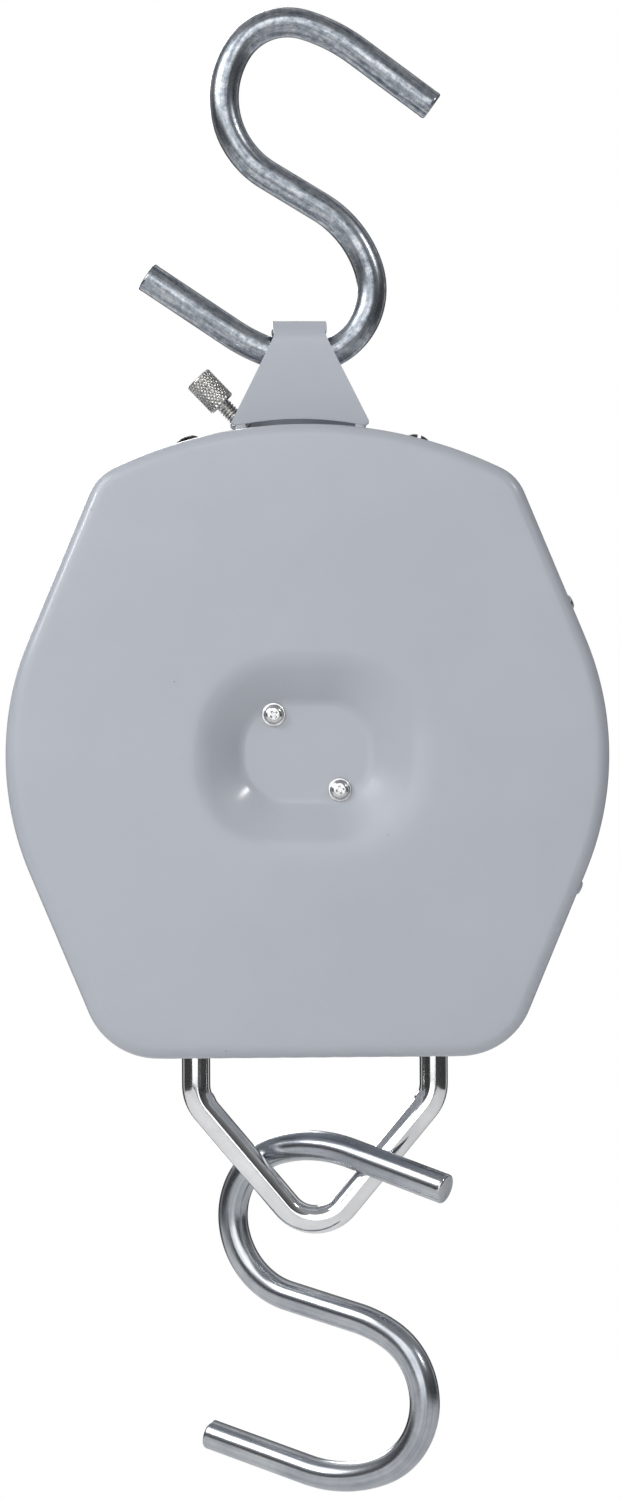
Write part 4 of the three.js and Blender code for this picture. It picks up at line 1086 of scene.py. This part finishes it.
def turnedOnDial(name, profile, segments, finish, soften, closed=True):
    points = [(r / 1000, y / 1000) for r, y in profile]
    if closed:
        wrapped = [points[-1]] + points + [points[0]]
        points = rounded(wrapped, soften / 1000, 3)[1:-1]
    mesh = ontoDial(turnedMesh(name, points, segments, closed))
    piece = newPiece(name, mesh, finish)
    if closed:
        faceOut(mesh)
    return shadeSmooth(piece, 35)


def makeBezel(s):
    tube, bore = s["opening"] - 0.3, s["opening"] - 0.3 - s["wall"]
    front, face = s["bezelY"], s["frontY"]
    profile = [
        (bore - 2.7, front + 0.5), (bore - 1.6, front), (s["opening"] + 2.4, front),
        (s["opening"] + s["flange"] - 0.6, front + 0.9), (s["opening"] + s["flange"], front + 2.0),
        (s["opening"] + s["flange"], face - 0.3), (tube, face - 0.3), (tube, s["ringRearY"] - 2),
        (bore, s["ringRearY"] - 2), (bore, s["lensFront"] - 0.3), (bore - 2.7, s["lensFront"] - 0.3),
    ]
    return turnedOnDial("bezelRing", profile, 192, "chrome_ring", 0.45)


settle(makeBezel(dialSizes), "case", "chrome_ring", "bezel")


def makeTickTree():
    inputs = {
        "Count": ("Int", 51), "Sweep": ("Float", 345.0),
        "Inner": ("Float", 0.08), "Outer": ("Float", 0.09),
        "Width": ("Float", 0.001), "Thickness": ("Float", 0.00006), "Finish": ("Material", None),
    }
    tree, start = newTree("dialMarks", inputs)
    sockets = {"Count": start.outputs["Count"], "Offset": (0, 0, 0)}
    points = addNode(tree, "GeometryNodeMeshLine", sockets)
    index = addNode(tree, "GeometryNodeInputIndex").outputs[0]
    steps = math2(tree, "SUBTRACT", start.outputs["Count"], 1.0)
    whole = math2(tree, "RADIANS", start.outputs["Sweep"])
    angle = math2(tree, "MULTIPLY", math2(tree, "DIVIDE", index, steps), whole)
    length = math2(tree, "SUBTRACT", start.outputs["Outer"], start.outputs["Inner"])
    sockets = {0: start.outputs["Width"], 1: start.outputs["Thickness"], 2: length}
    size = addNode(tree, "ShaderNodeCombineXYZ", sockets)
    bar = addNode(tree, "GeometryNodeMeshCube", {"Size": size.outputs[0]})
    both = math2(tree, "ADD", start.outputs["Outer"], start.outputs["Inner"])
    middle = math2(tree, "MULTIPLY", both, 0.5)
    out = addNode(tree, "ShaderNodeCombineXYZ", {2: middle})
    sockets = {"Geometry": bar.outputs[0], "Translation": out.outputs[0]}
    lifted = addNode(tree, "GeometryNodeTransform", sockets)
    turn = addNode(tree, "ShaderNodeCombineXYZ", {1: angle})
    sockets = {"Points": points.outputs[0], "Instance": lifted.outputs[0], "Rotation": turn.outputs[0]}
    spread = addNode(tree, "GeometryNodeInstanceOnPoints", sockets)
    endTree(tree, spread.outputs[0], start.outputs["Finish"])
    return tree


dialMarks = makeTickTree()


def makeMarks(name, count, size, s):
    inner, outer, width = size
    piece = newPiece(name, meshFrom(name, [(0, 0, 0)], []), "dial_ink")
    values = {
        "Count": count, "Sweep": s["sweep"], "Inner": inner / 1000, "Outer": outer / 1000,
        "Width": width / 1000, "Thickness": s["ink"] / 1000,
    }
    throughTree(piece, dialMarks, values, "dial_ink")
    piece.data.transform(Matrix.Translation(place(0, s["plateY"] - s["ink"] * 0.6, 0)))
    return settle(piece, "case", "white_dial")


makeMarks("marksOne", dialSizes["units"] + 1, dialSizes["minor"], dialSizes)
makeMarks("marksFive", dialSizes["units"] // 5 + 1, dialSizes["five"], dialSizes)
makeMarks("marksTen", dialSizes["units"] // 10 + 1, dialSizes["ten"], dialSizes)
inner, outer = dialSizes["circle"]
inkY = dialSizes["plateY"]
lineProfile = [(inner, inkY - 0.06), (outer, inkY - 0.06), (outer, inkY - 0.01), (inner, inkY - 0.01)]
settle(turnedOnDial("markCircle", lineProfile, 180, "dial_ink", 0.0), "case", "white_dial")


def makeNumbers(s):
    parts = []
    for value in range(0, s["units"] + 1, 10):
        curve = bpy.data.curves.new("number", "FONT")
        curve.body, curve.size = str(value), s["numberHeight"] / 1000
        curve.align_x, curve.align_y = "CENTER", "CENTER"
        curve.extrude, curve.resolution_u = s["ink"] / 2000, 6
        text = bpy.data.objects.new("number", curve)
        bpy.context.scene.collection.objects.link(text)
        bpy.context.view_layer.update()
        graph = bpy.context.evaluated_depsgraph_get()
        mesh = bpy.data.meshes.new_from_object(text.evaluated_get(graph), depsgraph=graph)
        bpy.data.objects.remove(text)
        angle = math.radians(s["sweep"] * value / s["units"])
        radius = s["numberRadius"]
        where = place(radius * math.sin(angle), s["plateY"] - s["ink"] * 0.6, radius * math.cos(angle))
        mesh.transform(Matrix.Translation(where) @ Matrix.Rotation(math.pi / 2, 4, "X"))
        parts.append(mesh)
    edit = bmesh.new()
    for mesh in parts:
        edit.from_mesh(mesh)
    whole = bpy.data.meshes.new("dialNumbers")
    bmesh.ops.remove_doubles(edit, verts=edit.verts, dist=1e-6)
    edit.to_mesh(whole)
    edit.free()
    return settle(newPiece("dialNumbers", whole, "dial_ink"), "case", "white_dial")


makeNumbers(dialSizes)

bushSizes = {
    "x": (-50.0, 42.4), "hole": 5.9, "tube": 7.1, "flange": 9, "outside": -114.0, "inside": -112.4,
    "height": 1.2,
}


def makeBush(name, x, s):
    hole, tube, flange, height = s["hole"], s["tube"], s["flange"], s["height"]
    profile = [
        (hole, s["outside"] - height), (flange - 0.5, s["outside"] - height),
        (flange, s["outside"] - height * 0.5),
        (flange, s["outside"]), (tube, s["outside"]), (tube, s["inside"]), (flange, s["inside"]),
        (flange, s["inside"] + height), (hole, s["inside"] + height),
    ]
    points = [(r / 1000, z / 1000) for r, z in profile]
    points = rounded([points[-1]] + points + [points[0]], 0.0002, 3)[1:-1]
    mesh = turnedMesh(name, points, 64, True)
    mesh.transform(Matrix.Translation(place(x, 0, 0)))
    return shadeSmooth(newPiece(name, mesh, "black_rubber"), 35)


for x, name in zip(bushSizes["x"], ("left", "right")):
    settle(makeBush("legBush_" + name, x, bushSizes), "case", "black_rubber", "yoke_bush_" + name)
print("dial side made")


studio = {
    "floorZ": -0.66, "floor": (2.6, 2.6), "floorFrom": -0.45,
    "camera": (0.0848, 1.638, -0.2767), "aim": (-0.0045, 0.038, -0.2767), "lens": 101.4, "roll": 0.0045,
    "key": {"at": (1.54, 0.98, 0.58), "size": (0.14, 0.14), "power": 5.5},
    "side": {"at": (-1.43, 0.98, 0.76), "size": (0.12, 0.12), "power": 4.5},
    "rake": {"at": (0.62, 0.42, 0.24), "size": (0.5, 0.5), "power": 2.9},
    "front": {"at": (0.5, 2.6, 0.5), "size": (2.4, 2.4), "power": 31},
    "dial": {"at": (0.7, -2.4, 0.8), "size": (1.4, 1.4), "power": 40},
    "sky": [  # how bright it is from straight below to straight above
        (0.0, 0.05), (0.08, 0.10), (0.15, 0.85), (0.26, 0.85), (0.33, 0.08), (0.5, 0.04), (0.7, 0.16),
        (0.82, 0.34), (1.0, 0.30),
    ],
    "backGlow": [(0.38, 0.0), (0.45, 0.55), (0.56, 0.55), (0.64, 0.0)],  # a ring round the dial's side
}


def makeStudio(s):
    width, depth = s["floor"]
    x, near, far = width / 2, s["floorFrom"], s["floorFrom"] + depth
    corners = [(-x, near), (x, near), (x, far), (-x, far)]
    mesh = meshFrom("studioFloor", [(*corner, s["floorZ"]) for corner in corners], [(0, 1, 2, 3)])
    made, tree, shader, where = newFinish("floorPaper", {"Roughness": 0.8})
    paper = ramp(tree, noise(tree, where, 6, 4), [(0.3, 0.83), (0.7, 0.86)])
    tree.links.new(paper, shader.inputs["Base Color"])
    mesh.materials.append(made)
    floor = bpy.data.objects.new("studioFloor", mesh)
    bpy.context.scene.collection.objects.link(floor)
    for name in ("key", "side", "rake", "front", "dial"):
        light = bpy.data.lights.new(name, "AREA")
        light.shape, light.energy = "RECTANGLE", s[name]["power"]
        light.size, light.size_y = s[name]["size"]
        lamp = bpy.data.objects.new(name + "Light", light)
        bpy.context.scene.collection.objects.link(lamp)
        lamp.location = s[name]["at"]
        beam = Vector(s["aim"]) - Vector(s[name]["at"])
        lamp.rotation_euler = beam.to_track_quat("-Z", "Y").to_euler()


def makeSky(s):
    world = bpy.data.worlds.new("paleStudio")
    world.use_nodes = True
    bpy.context.scene.world = world
    tree = world.node_tree
    back = tree.nodes["Background"]
    towards = addNode(tree, "ShaderNodeTexCoord").outputs["Generated"]
    split = addNode(tree, "ShaderNodeSeparateXYZ", {0: towards})
    half = math2(tree, "MULTIPLY", split.outputs["Z"], 0.5)
    height = math2(tree, "ADD", half, 0.5)  # 0 below, 1 above
    upright = ramp(tree, height, [(p, (v, v, v * 1.02)) for p, v in s["sky"]])
    behind = math2(tree, "MULTIPLY", split.outputs["Y"], -1.0)
    level = mixed(tree, "ADD", 1.0, upright, ramp(tree, behind, s["backGlow"]))
    seen = addNode(tree, "ShaderNodeLightPath").outputs["Is Camera Ray"]
    tree.links.new(mixed(tree, "MIX", seen, level, (1.0, 1.0, 1.0, 1)), back.inputs["Color"])


def makeCamera(s):
    data = bpy.data.cameras.new("camera")
    data.lens, data.sensor_width = s["lens"], 36
    camera = bpy.data.objects.new("camera", data)
    bpy.context.scene.collection.objects.link(camera)
    eye, aim = Vector(s["camera"]), Vector(s["aim"])
    forward = (aim - eye).normalized()
    right = forward.cross(Vector((0, 0, 1))).normalized()
    up = right.cross(forward)
    up, right = (up + right * s["roll"]).normalized(), (right - up * s["roll"]).normalized()
    camera.matrix_world = Matrix.Translation(eye) @ Matrix((right, up, -forward)).transposed().to_4x4()
    bpy.context.scene.camera = camera


makeStudio(studio)
makeSky(studio)
makeCamera(studio)
bpy.context.scene.view_settings.view_transform = "Standard"
print("studio set")
